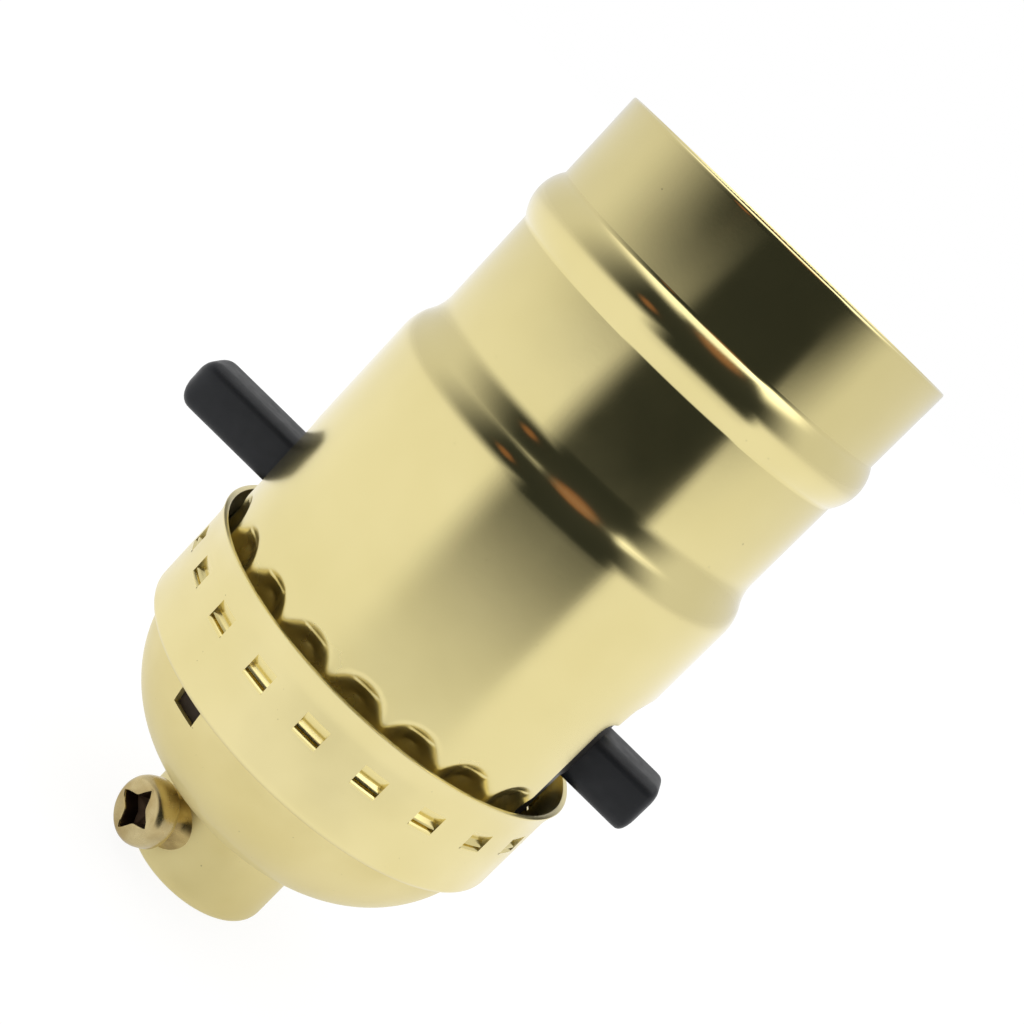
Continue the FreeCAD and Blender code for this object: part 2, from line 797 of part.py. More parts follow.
def make_rocker():
    """Moving contact: a hub on the pin, an arm down into the bar and an arm out to the fixed contact."""
    z, width = dim("pin_height"), dim("rocker_width")
    swing = math.degrees(math.asin(dim("bar_travel").value / 2 / (z.value - dim("bar_height").value)))
    length = z - dim("bar_height")
    hub, tip, arm = dim("hub_radius"), dim("rocker_tip"), dim("rocker_arm")
    body = new_body("contact_rocker")
    disc_outline(new_sketch(body, "XZ_Plane"), 0, 0, hub)
    pad(body, body.Group[-1], width, midplane=True)
    box_outline(new_sketch(body, "XZ_Plane"), -0.7, -length, 0.7, 0)
    pad(body, body.Group[-1], width, midplane=True)
    disc_outline(new_sketch(body, "XZ_Plane"), 0, -length, tip)
    pad(body, body.Group[-1], width, midplane=True)
    out, down = arm * cosine(dim("rocker_arm_drop")), -(arm * sine(dim("rocker_arm_drop")))
    outline(new_sketch(body, "XZ_Plane"),
            (0, -0.8), (out, down - 0.6), (out, down + 0.6), (0, 0.8), (0, -0.8))
    pad(body, body.Group[-1], width, midplane=True)
    disc_outline(new_sketch(body, "XZ_Plane"), out, down, tip)
    pad(body, body.Group[-1], width, midplane=True)
    disc_outline(new_sketch(body, "XZ_Plane"), 0, 0, dim("pin_radius") + 0.05)
    pocket(body, body.Group[-1], 10, midplane=True)
    body.Placement = Placement(Vector(0, 0, z.value), Rotation(Vector(0, 1, 0), swing))
    bind(body, "Placement.Base.z", z)
    return body


def strip(label, width, *points):
    """A bent strip: its side outline in XZ, extruded to both sides of that plane."""
    body = new_body(label)
    outline(new_sketch(body, "XZ_Plane"), points[0], *points[1:], points[0])
    pad(body, body.Group[-1], width, midplane=True)
    return body


def make_contact():
    """Centre contact: a spring leaf that rises under the bulb's tip."""
    t, low, high = dim("contact_sheet"), dim("block_top") + 0.4, dim("contact_top")
    body = strip("center_contact", dim("contact_width"),
                 (8.2, low), (8.2, low + t), (2.4, low + t), (0.2, high), (-3, high), (-5, high - 1),
                 (-5, high - 1 - t), (-2.8, high - t), (-0.2, high - t), (2, low))
    disc_outline(new_sketch(body, "XY_Plane", low - 1), dim("rivet_x"), 0, 1.21)
    pocket(body, body.Group[-1], 3, reverse=True)
    return body


def make_fixed_contact():
    """Standing contact: a strip on the pocket's ceiling with a button that meets the rocker."""
    top = dim("pocket_top")
    body = strip("fixed_contact", 4, (2.4, top), (2.4, top - 0.5), (9.7, top - 0.5), (9.7, top))
    disc_outline(new_sketch(body, "XY_Plane", top - 1), dim("rocker_arm"), 0, 1.2)
    pad(body, body.Group[-1], 0.7)
    disc_outline(new_sketch(body, "XY_Plane", top - 2), dim("rivet_x"), 0, 1.21)
    pocket(body, body.Group[-1], 3, reverse=True)
    return body


def make_rivet():
    """Rivet through the centre contact, the block and the fixed contact, with a head at each end."""
    body = new_body("center_rivet")
    low = dim("pocket_top") - 0.5
    high = dim("block_top") + 0.4 + dim("contact_sheet")
    outline(new_sketch(body, "XZ_Plane"),
            (0, low - 0.4), (1.7, low - 0.4), (1.9, low - 0.2), (1.9, low), (1.2, low), (1.2, high),
            (2, high), (2, high + 0.3), (1.4, high + 0.8), (0, high + 0.8), (0, low - 0.4))
    revolve(body, body.Group[-1])
    body.Placement = Placement(Vector(dim("rivet_x").value, 0, 0), Rotation())
    bind(body, "Placement.Base.x", dim("rivet_x"))
    return body


def make_spring():
    """Detent spring: a leaf whose middle stands up into the bar's notches."""
    floor = dim("chamber_foot") + 0.02
    peak = dim("bar_height") - dim("bar_side") / 2 + 0.55
    return strip("detent_spring", 3,
                 (-8.6, floor), (-6.8, floor), (-2, floor + 0.9), (-0.9, floor + 0.9), (0, peak - 0.5),
                 (0.9, floor + 0.9), (2, floor + 0.9), (6.8, floor), (8.6, floor), (8.6, floor + 0.4),
                 (6.9, floor + 0.4), (2.1, floor + 1.3), (1.1, floor + 1.3), (0, peak), (-1.1, floor + 1.3),
                 (-2.1, floor + 1.3), (-6.9, floor + 0.4), (-8.6, floor + 0.4))


def make_terminal(label, side, strap_outline):
    """Terminal plate on the recess floor with its strap; side is -1 at the front and 1 at the back."""
    body = new_body(label)
    floor, t = dim("recess_floor") + 0.02, dim("plate_sheet")
    wide, foot, top = dim("plate_width") / 2, dim("recess_foot") + 0.3, dim("recess_top") - 0.3
    face = floor if side < 0 else -(floor + t)
    box_outline(new_sketch(body, "XZ_Plane", face), -wide, foot, wide, top)
    pad(body, body.Group[-1], t)
    strap = new_sketch(body, "YZ_Plane")
    outline(strap, strap_outline[0], *strap_outline[1:], strap_outline[0])
    pad(body, strap, dim("strap_width"), midplane=True)
    disc_outline(new_sketch(body, "XZ_Plane", face - 1), 0, dim("terminal_height"), dim("terminal_shank") + 0.05)
    pocket(body, body.Group[-1], 3, reverse=True)
    return body


def make_hot_terminal():
    """Hot plate at the front; its strap turns in under the upper block, to the rocker's pin."""
    floor, t = dim("recess_floor") + 0.02, dim("plate_sheet")
    low, part = dim("recess_top") - 0.5, dim("parting") + 0.02
    end = dim("pin_length") / 2 + 0.1
    return make_terminal("hot_terminal", -1, [
        (-(floor + t), low), (-floor, low), (-floor, part), (-end, part), (-end, part + t),
        (-(floor + t), part + t)])


def make_neutral_terminal():
    """Neutral plate at the back; its strap climbs the upper block and turns in under the screw shell."""
    floor, t = dim("recess_floor") + 0.02, dim("plate_sheet")
    low, top = dim("recess_top") - 0.5, dim("block_top")
    end = dim("flange_hole") + 0.5
    return make_terminal("neutral_terminal", 1, [
        (floor, low), (floor + t, low), (floor + t, top), (end, top), (end, top - t), (floor, top - t)])


def make_terminal_screw(label, side):
    """Slotted terminal screw, head outward."""
    body = new_body(label)
    face = dim("recess_floor") + dim("plate_sheet") + 0.04
    head, thick, shank = dim("terminal_head"), dim("terminal_head_thick"), dim("terminal_shank")
    outline(new_sketch(body, "XZ_Plane"),
            (0, face - 7), (shank - 0.3, face - 7), (shank, face - 6.7), (shank, face), (head, face),
            (head, face + thick - 0.8), (head - 0.8, face + thick, 0.8), (0, face + thick), (0, face - 7))
    revolve(body, body.Group[-1])
    box_outline(new_sketch(body, "XY_Plane", face + thick), -5, -0.5, 5, 0.5)
    pocket(body, body.Group[-1], 1.1)
    spin = Rotation(Vector(1, 0, 0), 90 if side < 0 else -90)
    body.Placement = Placement(Vector(0, 0, dim("terminal_height").value), spin)
    bind(body, "Placement.Base.z", dim("terminal_height"))
    return body


def make_pin():
    """Rocker's pin, along Y."""
    pin = doc.addObject("Part::Cylinder", "rocker_pin")
    pin.Label = "rocker_pin"
    bind(pin, "Radius", dim("pin_radius"))
    bind(pin, "Height", dim("pin_length"))
    pin.Placement = Placement(Vector(0, dim("pin_length").value / 2, dim("pin_height").value),
                              Rotation(Vector(1, 0, 0), 90))
    bind(pin, "Placement.Base.y", dim("pin_length") / 2)
    bind(pin, "Placement.Base.z", dim("pin_height"))
    return pin


def make_studs():
    """The two long screws that hold the blocks together, as one pair."""
    foot, top = dim("base_foot") + 0.02, dim("stud_top")
    thick = dim("stud_head_thick")
    solids = []
    for side in (1, -1):
        head = doc.addObject("Part::Cylinder", "stud_head")
        shank = doc.addObject("Part::Cylinder", "stud_shank")
        bind(head, "Radius", dim("stud_head"))
        bind(head, "Height", thick - 0.02)
        bind(shank, "Radius", dim("stud_radius"))
        bind(shank, "Height", top - foot)
        for cylinder in (head, shank):
            bind(cylinder, "Placement.Base.x", dim("stud_x") * side)
            bind(cylinder, "Placement.Base.y", -dim("stud_y") * side)
            bind(cylinder, "Placement.Base.z", foot)
        slot = doc.addObject("Part::Box", "stud_slot")
        bind(slot, "Length", 8)
        bind(slot, "Width", 0.9)
        bind(slot, "Height", 0.9)
        bind(slot, "Placement.Base.x", dim("stud_x") * side - 4)
        bind(slot, "Placement.Base.y", -dim("stud_y") * side - 0.45)
        bind(slot, "Placement.Base.z", foot - 0.1)
        whole = doc.addObject("Part::Fuse", "stud_blank")
        whole.Base = head
        whole.Tool = shank
        cut = doc.addObject("Part::Cut", "stud")
        cut.Base = whole
        cut.Tool = slot
        solids.append(cut)
    pair = doc.addObject("Part::Compound", "assembly_screws")
    pair.Label = "assembly_screws"
    pair.Links = solids
    return pair


pieces = [
    make_cap(),
    make_shell(),
    make_bar(),
    make_base(),
    make_block(),
    make_screw_shell(),
    make_liner(),
    make_cap_liner(),
    make_bushing(),
    make_set_screw(),
    make_rocker(),
    make_contact(),
    make_fixed_contact(),
    make_rivet(),
    make_spring(),
    make_hot_terminal(),
    make_neutral_terminal(),
    make_terminal_screw("hot_screw", -1),
    make_terminal_screw("neutral_screw", 1),
    make_pin(),
    make_studs(),
]
doc.recompute()

failed = [o.Label for o in doc.Objects if "Invalid" in o.State or "Error" in o.State]
if failed:
    raise RuntimeError("failed objects: %s" % ", ".join(failed))
os.makedirs("parts", exist_ok=True)
for piece in pieces:
    shape = piece.Shape
    if shape.isNull() or not shape.isValid():
        raise RuntimeError("%s has no valid shape" % piece.Label)
    shape.exportStep(os.path.join("parts", piece.Label + ".step"))
    print("%-18s %2d solid  %9.2f mm3" % (piece.Label, len(shape.Solids), shape.Volume))
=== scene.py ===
import math

import bmesh
import bpy
from mathutils import Matrix, Vector


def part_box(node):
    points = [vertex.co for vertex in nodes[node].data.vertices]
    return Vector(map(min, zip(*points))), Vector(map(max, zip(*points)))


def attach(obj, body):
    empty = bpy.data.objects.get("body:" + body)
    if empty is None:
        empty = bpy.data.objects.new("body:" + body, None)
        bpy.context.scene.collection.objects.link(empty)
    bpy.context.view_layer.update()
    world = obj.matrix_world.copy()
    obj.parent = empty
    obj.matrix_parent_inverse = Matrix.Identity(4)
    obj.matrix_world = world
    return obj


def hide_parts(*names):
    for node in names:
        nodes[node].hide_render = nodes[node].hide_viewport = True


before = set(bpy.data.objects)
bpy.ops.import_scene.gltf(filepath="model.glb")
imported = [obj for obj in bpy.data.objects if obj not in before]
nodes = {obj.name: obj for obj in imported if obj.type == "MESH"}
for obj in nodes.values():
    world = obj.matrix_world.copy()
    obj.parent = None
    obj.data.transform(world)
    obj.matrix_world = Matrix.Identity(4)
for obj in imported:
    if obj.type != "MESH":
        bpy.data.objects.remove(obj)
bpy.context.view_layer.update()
scene = bpy.context.scene
MM = 0.001


# ---------------------------------------------------------------- places

def corners(node):
    """A node's lowest and highest corners in millimetres."""
    low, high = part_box(node)
    return low / MM, high / MM


def at(radius, turn, height):
    """A point in millimetres from its radius, its angle from -Y towards +X, and its height."""
    a = math.radians(turn)
    return (radius * math.sin(a), -radius * math.cos(a), height)


def ease(t):
    """A smooth step from 0 at 0 to 1 at 1."""
    t = min(max(t, 0.0), 1.0)
    return t * t * (3 - 2 * t)


# ---------------------------------------------------------------- sizes in millimetres, angles in degrees

shell_low, shell_high = corners("outer_shell")
cap_high = corners("cap")[1]
MOUTH = shell_high.z
SHELL_FOOT = shell_low.z
SHEET_T = 0.42
BODY_R = 17.82
BARREL_R = 16.6

RIM = cap_high.z
RIM_R = 18.9
CAP_T = 0.5
WALL_R = 18.55

# The snap joint: windows with tongues in the cap, dimples in the shell
SNAP_COUNT = 20
PITCH = 360.0 / SNAP_COUNT
DIMPLE_TURN = 1.8
WINDOW_TURN = -0.4


# ---------------------------------------------------------------- materials

def material(name):
    """A material with one Principled shader."""
    mat = bpy.data.materials.new(name)
    mat.use_nodes = True
    nt = mat.node_tree
    nt.nodes.clear()
    out = nt.nodes.new("ShaderNodeOutputMaterial")
    bsdf = nt.nodes.new("ShaderNodeBsdfPrincipled")
    nt.links.new(bsdf.outputs[0], out.inputs[0])
    return mat, nt, bsdf


def noise(nt, scale, detail=3.0, stretch=(1, 1, 1)):
    """Noise in object space; scale is in cycles per millimetre."""
    coord = nt.nodes.new("ShaderNodeTexCoord")
    mapping = nt.nodes.new("ShaderNodeMapping")
    mapping.inputs["Scale"].default_value = [k * scale / MM for k in stretch]
    tex = nt.nodes.new("ShaderNodeTexNoise")
    tex.inputs["Scale"].default_value = 1.0
    tex.inputs["Detail"].default_value = detail
    tex.inputs["Roughness"].default_value = 0.5
    nt.links.new(coord.outputs["Object"], mapping.inputs[0])
    nt.links.new(mapping.outputs[0], tex.inputs["Vector"])
    return tex.outputs["Fac"]


def ramp(nt, source, stops):
    """Colours by the value of a source, from (value, colour) stops."""
    node = nt.nodes.new("ShaderNodeValToRGB")
    elements = node.color_ramp.elements
    while len(elements) < len(stops):
        elements.new(0.5)
    for element, (place, colour) in zip(elements, stops):
        element.position = place
        element.color = colour + (1,)
    nt.links.new(source, node.inputs[0])
    return node.outputs[0]


def span(nt, source, low, high):
    """Maps noise to a range of numbers."""
    node = nt.nodes.new("ShaderNodeMapRange")
    node.inputs["From Min"].default_value = 0.3
    node.inputs["From Max"].default_value = 0.7
    node.inputs["To Min"].default_value = low
    node.inputs["To Max"].default_value = high
    nt.links.new(source, node.inputs["Value"])
    return node.outputs[0]


def bump(nt, bsdf, *layers):
    """Bump from (height source, depth in mm) layers."""
    last = None
    for source, depth in layers:
        node = nt.nodes.new("ShaderNodeBump")
        node.inputs["Strength"].default_value = 1.0
        node.inputs["Distance"].default_value = depth * MM
        nt.links.new(source, node.inputs["Height"])
        if last is not None:
            nt.links.new(last, node.inputs["Normal"])
        last = node.outputs[0]
    nt.links.new(last, bsdf.inputs["Normal"])


def mix(nt, fac, a, b):
    """Colour a where fac is 0 and colour b where it is 1; each is a plain colour or another node's."""
    node = nt.nodes.new("ShaderNodeMix")
    node.data_type = "RGBA"
    nt.links.new(fac, node.inputs[0])
    for socket, value in ((node.inputs[6], a), (node.inputs[7], b)):
        if isinstance(value, tuple):
            socket.default_value = value + (1,)
        else:
            nt.links.new(value, socket)
    return node.outputs[2]


def zone(nt, radial, start, stop, low, high):
    """A value that goes from low to high between two heights, or two distances from the axis, in mm."""
    coord = nt.nodes.new("ShaderNodeTexCoord").outputs["Object"]
    parts = nt.nodes.new("ShaderNodeSeparateXYZ")
    nt.links.new(coord, parts.inputs[0])
    place = parts.outputs[2]
    if radial:
        flat = nt.nodes.new("ShaderNodeCombineXYZ")
        nt.links.new(parts.outputs[0], flat.inputs[0])
        nt.links.new(parts.outputs[1], flat.inputs[1])
        far = nt.nodes.new("ShaderNodeVectorMath")
        far.operation = "LENGTH"
        nt.links.new(flat.outputs[0], far.inputs[0])
        place = far.outputs["Value"]
    node = nt.nodes.new("ShaderNodeMapRange")
    node.interpolation_type = "SMOOTHSTEP"
    limits = {"From Min": start * MM, "From Max": stop * MM, "To Min": low, "To Max": high}
    for socket, value in limits.items():
        node.inputs[socket].default_value = value
    nt.links.new(place, node.inputs["Value"])
    return node.outputs[0]


def brass(name, colour, deep, rough, grain, coat, speck=0.80, dull=None):
    """Lacquered drawn brass: slow colour drift, fine grain, lines along the axis and a few dark specks.

    grain is the depth of the grain in mm, coat the lacquer's weight, and a higher speck gives fewer specks.
    dull is (radial, start, stop, added roughness): where the surface was worked and has lost its polish.
    """
    mat, nt, bsdf = material(name)
    drift = span(nt, noise(nt, 0.12, 2), 0.0, 1.0)
    base = mix(nt, drift, colour, deep)
    dots = ramp(nt, noise(nt, 2.6, 1), [(speck, (0, 0, 0)), (speck + 0.04, (1, 1, 1))])
    base = mix(nt, dots, base, tuple(0.6 * c for c in deep))
    nt.links.new(base, bsdf.inputs["Base Color"])
    bsdf.inputs["Metallic"].default_value = 1.0
    smear = span(nt, noise(nt, 0.22, 4), rough * 0.86, rough * 1.16)
    if dull:
        add = nt.nodes.new("ShaderNodeMath")
        nt.links.new(smear, add.inputs[0])
        nt.links.new(zone(nt, *dull[:3], dull[3], 0.0), add.inputs[1])
        smear = add.outputs[0]
    nt.links.new(smear, bsdf.inputs["Roughness"])
    bsdf.inputs["Coat Weight"].default_value = coat
    bsdf.inputs["Coat Roughness"].default_value = 0.12
    lines = noise(nt, 1.6, 2, stretch=(1.0, 1.0, 0.03))
    bump(nt, bsdf, (noise(nt, 3.5, 2), grain), (lines, 0.0005), (noise(nt, 0.35, 2), grain * 2.0))
    return mat


def metal(name, colour, deep, rough, grain=0.003, scale=2.0):
    """Metal that drifts between two colours, with a grain of a depth in mm and a scale in cycles per mm."""
    mat, nt, bsdf = material(name)
    base = mix(nt, span(nt, noise(nt, scale * 0.3, 4), 0.0, 1.0), colour, deep)
    nt.links.new(base, bsdf.inputs["Base Color"])
    bsdf.inputs["Metallic"].default_value = 1.0
    nt.links.new(span(nt, noise(nt, scale * 0.5, 3), rough * 0.8, rough * 1.25), bsdf.inputs["Roughness"])
    bump(nt, bsdf, (noise(nt, scale, 3), grain))
    return mat


def plastic(name, colour, deep, rough, grain, scale, level):
    """Moulded plastic or fibre, described as metal is; level is how strongly it shines."""
    mat, nt, bsdf = material(name)
    base = mix(nt, span(nt, noise(nt, scale * 0.2, 4), 0.0, 1.0), colour, deep)
    nt.links.new(base, bsdf.inputs["Base Color"])
    nt.links.new(span(nt, noise(nt, scale * 0.4, 3), rough * 0.85, rough * 1.15), bsdf.inputs["Roughness"])
    bsdf.inputs["Specular IOR Level"].default_value = level
    bump(nt, bsdf, (noise(nt, scale, 3), grain), (noise(nt, scale * 0.15, 2), grain * 4))
    return mat


SHELL_BRASS = brass("shell_brass", (0.80, 0.695, 0.335), (0.765, 0.66, 0.305), 0.145, 0.0008,
                    coat=0.4, dull=(False, 26.5, 46.0, 0.12))
CAP_BRASS = brass("cap_brass", (0.84, 0.735, 0.375), (0.80, 0.695, 0.335), 0.33, 0.0016, coat=0.3,
                  speck=0.79, dull=(True, WALL_R - 0.32, WALL_R - 0.14, 0.25))
CUT_BRASS = brass("cut_brass", (0.82, 0.71, 0.33), (0.78, 0.66, 0.28), 0.21, 0.0012, coat=0.2)
SCREW_BRASS = metal("screw_brass", (0.68, 0.57, 0.31), (0.42, 0.31, 0.13), 0.25, 0.010, 1.2)
# The neck's boss: a darker copy of the brass, painted shade for where the dome overhangs it
BOSS_PAINTED_SHADE = metal("boss_painted_shade", (0.58, 0.45, 0.19), (0.30, 0.21, 0.08), 0.28, 0.006)
# The star recess: near-black brass that is painted shade for the hollow, not a colour of its own
RECESS_PAINTED_SHADE = metal("recess_painted_shade", (0.16, 0.10, 0.055), (0.07, 0.045, 0.03), 0.5, 0.010, 1.5)
THREAD_BRASS = metal("thread_brass", (0.78, 0.64, 0.36), (0.66, 0.50, 0.25), 0.26)
BRONZE = metal("contact_bronze", (0.72, 0.52, 0.30), (0.60, 0.40, 0.20), 0.28)
STEEL = metal("zinc_steel", (0.62, 0.62, 0.60), (0.48, 0.48, 0.47), 0.34)
NICKEL = metal("nickel_steel", (0.74, 0.73, 0.70), (0.62, 0.61, 0.58), 0.24)
SPRING = metal("spring_steel", (0.50, 0.49, 0.47), (0.38, 0.37, 0.36), 0.30)
BAR_BLACK = plastic("bar_black", (0.0110, 0.0122, 0.0150), (0.0085, 0.0098, 0.0122), 0.42, 0.0022, 2.2, 0.33)
PHENOLIC = plastic("phenolic", (0.010, 0.009, 0.0085), (0.020, 0.016, 0.013), 0.42, 0.006, 1.2, 0.4)
FIBRE = plastic("fibre", (0.040, 0.027, 0.017), (0.020, 0.014, 0.009), 0.75, 0.02, 1.8, 0.25)


# ---------------------------------------------------------------- meshes

class Sheet:
    """Collects grids of points in millimetres and makes one welded, smooth-shaded mesh."""

    def __init__(self):
        self.points = []
        self.faces = []

    def grid(self, rows, closed=True, drop=None, flip=False):
        """Joins rows of points by faces, but for those that drop(row, column) leaves out."""
        first = len(self.points)
        wide = len(rows[0])
        for row in rows:
            self.points.extend(row)
        last = wide if closed else wide - 1
        for i in range(len(rows) - 1):
            for j in range(last):
                if drop and drop(i, j):
                    continue
                k = (j + 1) % wide
                a, b = first + i * wide + j, first + i * wide + k
                c, d = first + (i + 1) * wide + k, first + (i + 1) * wide + j
                self.faces.append((a, d, c, b) if flip else (a, b, c, d))

    def make(self, name, mat, angle=38):
        """The object; edges sharper than the angle stay sharp."""
        mesh = bpy.data.meshes.new(name)
        mesh.from_pydata([Vector(p) * MM for p in self.points], [], self.faces)
        bm = bmesh.new()
        bm.from_mesh(mesh)
        bmesh.ops.remove_doubles(bm, verts=bm.verts, dist=0.002 * MM)
        bmesh.ops.delete(bm, geom=[v for v in bm.verts if not v.link_faces], context="VERTS")
        bm.to_mesh(mesh)
        bm.free()
        mesh.shade_smooth()
        mesh.set_sharp_from_angle(angle=math.radians(angle))
        mesh.materials.append(mat)
        obj = bpy.data.objects.new(name, mesh)
        scene.collection.objects.link(obj)
        return obj


def steps(start, stop, count):
    """Evenly spaced numbers, both ends included."""
    return [start + (stop - start) * i / count for i in range(count + 1)]


def path_arc(centre, radius, start, stop, count):
    """Points (radius, height) on an arc; angles in degrees from the outward direction, counterclockwise."""
    result = []
    for a in steps(start, stop, count):
        t = math.radians(a)
        result.append((centre[0] + radius * math.cos(t), centre[1] + radius * math.sin(t)))
    return result


# ---------------------------------------------------------------- outer shell

# The shoulder's and the bead's lower and upper ends; the bead's largest radius
SHOULDER_TILT = math.radians(30.5)
SHOULDER = (47.35, 51.8)
BEAD = (60.3, 64.8, 17.36)

# The two slots for the push bar: where they are, half their width as an angle, their upper edge and the
# radius of its corners. Rows of points bend with that edge, up to SLOT_EASE sideways and SLOT_BEND up or down
SLOT_AT = (82.7, -97.3)
SLOT_HALF = math.degrees(math.asin(6.2 / BODY_R))
SLOT_TOP = 37.1
SLOT_CORNER = 1.2
SLOT_EASE = 3.5
SLOT_BEND = 2.6

# A flat land is pressed round each slot's upper edge: its distance from the axis, half its width as an angle,
# where it begins, the height of its own upper edge at the sides, the rise to its middle, and its blend
LAND_FACE = 17.35
LAND_HALF = 13.0
LAND_FOOT = 32.0
LAND_SIDE = 38.0
LAND_CROWN = 1.8
LAND_EDGE = 0.9

# A dimple's outline is an arc over two straight sides; its tooth stands a little above its floor
DIMPLE_R = 2.76
DIMPLE_ARC_Z = 26.85
DIMPLE_TOP = DIMPLE_ARC_Z + DIMPLE_R
DIMPLE_DEPTH = 0.78
DIMPLE_SLOPE = 0.52
DIMPLE_ROUND = 0.35
TOOTH_HALF = 1.2
TOOTH_TOP = 28.75
TOOTH_RISE = 0.045
TOOTH_EDGE = 0.06


def turn_from(angle, centre):
    """The signed difference between two angles in degrees."""
    return (angle - centre + 180) % 360 - 180


def profile(z):
    """The shell's outside radius without dimples and lands."""
    low, high = SHOULDER
    if z <= low:
        return BODY_R
    if z < high:
        bend = (BODY_R - BARREL_R) / (2 - 2 * math.cos(SHOULDER_TILT))
        half = (high - low) / 2
        if z < low + half:
            return BODY_R - bend + math.sqrt(bend * bend - (z - low) ** 2)
        return BARREL_R + bend - math.sqrt(bend * bend - (high - z) ** 2)
    foot, top, radius = BEAD
    reach, rise = (top - foot) / 2, radius - BARREL_R
    arc = (reach * reach + rise * rise) / (2 * rise)
    off = abs(z - (foot + top) / 2)
    return max(BARREL_R, radius - arc + math.sqrt(max(arc * arc - off * off, 0)))


def dimple(across, z):
    """How far the snap dimple presses the wall in, at a distance across from its middle."""
    edge = DIMPLE_R - math.hypot(across, max(0.0, z - DIMPLE_ARC_Z))
    if edge <= 0:
        return 0.0
    depth = min(DIMPLE_SLOPE * edge * edge / (edge + DIMPLE_ROUND), DIMPLE_DEPTH)
    inside = min(TOOTH_HALF - abs(across), TOOTH_TOP - z)
    return depth - TOOTH_RISE * ease((inside + TOOTH_EDGE) / (2 * TOOTH_EDGE))


def shell_radius(turn, z):
    """The shell's outside radius, with its dimples and lands."""
    radius = profile(z)
    if z < DIMPLE_TOP:
        near = round((turn - DIMPLE_TURN) / PITCH) * PITCH + DIMPLE_TURN
        across = math.radians(turn_from(turn, near)) * BODY_R
        radius -= dimple(across, z)
    if z > LAND_FOOT:
        for centre in SLOT_AT:
            off = abs(turn_from(turn, centre))
            if off < LAND_HALF:
                crest = LAND_SIDE + LAND_CROWN * math.sqrt(1 - (off / LAND_HALF) ** 2)
                flat = LAND_FACE / math.cos(math.radians(off))
                radius += (flat - radius) * ease((crest - z) / LAND_EDGE)
    return radius


def slot_lift(turn):
    """How far the slot's edge lies above its middle height: less than 0 at and just past its corners."""
    for centre in SLOT_AT:
        off = abs(turn_from(turn, centre))
        inside = math.radians(SLOT_HALF - off) * BODY_R
        if inside >= SLOT_CORNER:
            continue
        if inside >= 0:
            gap = SLOT_CORNER - inside
            return -(SLOT_CORNER - math.sqrt(max(SLOT_CORNER ** 2 - gap ** 2, 0)))
        if inside > -SLOT_EASE:
            return -SLOT_CORNER * (1 - ease(-inside / SLOT_EASE))
    return 0.0


def slot_height(turn, z):
    """Bends the rows near the slot's upper edge so that one of them follows it."""
    return z + slot_lift(turn) * ease(1 - abs(z - SLOT_TOP) / SLOT_BEND)


def snap_columns(places, between, turn, radius):
    """The angles of a wall's columns: places and between are in mm from each snap's middle."""
    across = [-u for u in reversed(places[1:])] + list(places) + [between]
    return [k * PITCH + turn + math.degrees(u / radius) for k in range(SNAP_COUNT) for u in across]


def move_to_slots(columns):
    """Moves the column that is nearest each side of a slot onto it."""
    for centre in SLOT_AT:
        for side in (-1, 1):
            edge = centre + side * SLOT_HALF
            best = min(range(len(columns)), key=lambda i: abs(turn_from(columns[i], edge)))
            columns[best] += turn_from(edge, columns[best])


dimple_places = (0.0, 0.4, 0.8, 1.12, 1.26, 1.5, 1.75, 2.0, 2.2, 2.4, 2.55, 2.68)
columns = snap_columns(dimple_places, 2.8, DIMPLE_TURN, BODY_R)
move_to_slots(columns)

# Rows of points lie close together where the wall bends
rows = [SHELL_FOOT, 22.5, 24.0, 25.5, 26.4] + steps(26.9, 29.9, 31) + [30.4, 31.2, 32.4, 33.4]
rows += steps(33.9, 36.9, 7) + [SLOT_TOP, 37.3, 37.6] + steps(37.9, 40.4, 11)
rows += [42, 44.5, 46.4, 46.9] + steps(SHOULDER[0], SHOULDER[1], 20) + [51.9, 52.4, 55, 58, 59.8, 60.12]
rows += steps(BEAD[0], BEAD[1], 26) + [64.98, 65.3, 67, 70, 71.8, 72.2]
slot_row = rows.index(SLOT_TOP)


def in_slot(turn):
    """Whether an angle lies within one of the slots."""
    return any(abs(turn_from(turn, c)) < SLOT_HALF for c in SLOT_AT)


def middle(cols, j):
    """The angle halfway between a column and the next."""
    return cols[j] + turn_from(cols[(j + 1) % len(cols)], cols[j]) / 2


shell = Sheet()
outer = [[at(shell_radius(a, slot_height(a, z)), a, slot_height(a, z)) for a in columns] for z in rows]
lip = [(BARREL_R, MOUTH - 0.22), (BARREL_R - 0.03, MOUTH - 0.08), (BARREL_R - 0.1, MOUTH - 0.01),
       (BARREL_R - 0.21, MOUTH), (BARREL_R - 0.32, MOUTH - 0.01), (BARREL_R - 0.39, MOUTH - 0.08),
       (BARREL_R - SHEET_T, MOUTH - 0.22)]
outer += [[at(r, a, z) for a in columns] for r, z in lip]
shell.grid(outer, drop=lambda i, j: i < slot_row and in_slot(middle(columns, j)))

# The inside has half as many columns; behind the dimples it stays clear of the liner
LINER_CLEAR = 16.78
thin = columns[::2]
move_to_slots(thin)
inner_rows = [SHELL_FOOT, 24, 27, 28, 29, 30, 32, 33.9, 34.8, 35.8, SLOT_TOP, 38, 39, 40, 43]
inner_rows += steps(SHOULDER[0], SHOULDER[1], 6) + [56] + steps(BEAD[0], BEAD[1], 8) + [68, MOUTH - 0.22]


def inside_radius(turn, z):
    """The shell's inside radius."""
    return max(shell_radius(turn, z) - SHEET_T, LINER_CLEAR if z < DIMPLE_TOP else 0)


inner = [[at(inside_radius(a, slot_height(a, z)), a, slot_height(a, z)) for a in thin] for z in inner_rows]
inner_slot = inner_rows.index(SLOT_TOP)
shell.grid(inner, drop=lambda i, j: i < inner_slot and in_slot(middle(thin, j)), flip=True)

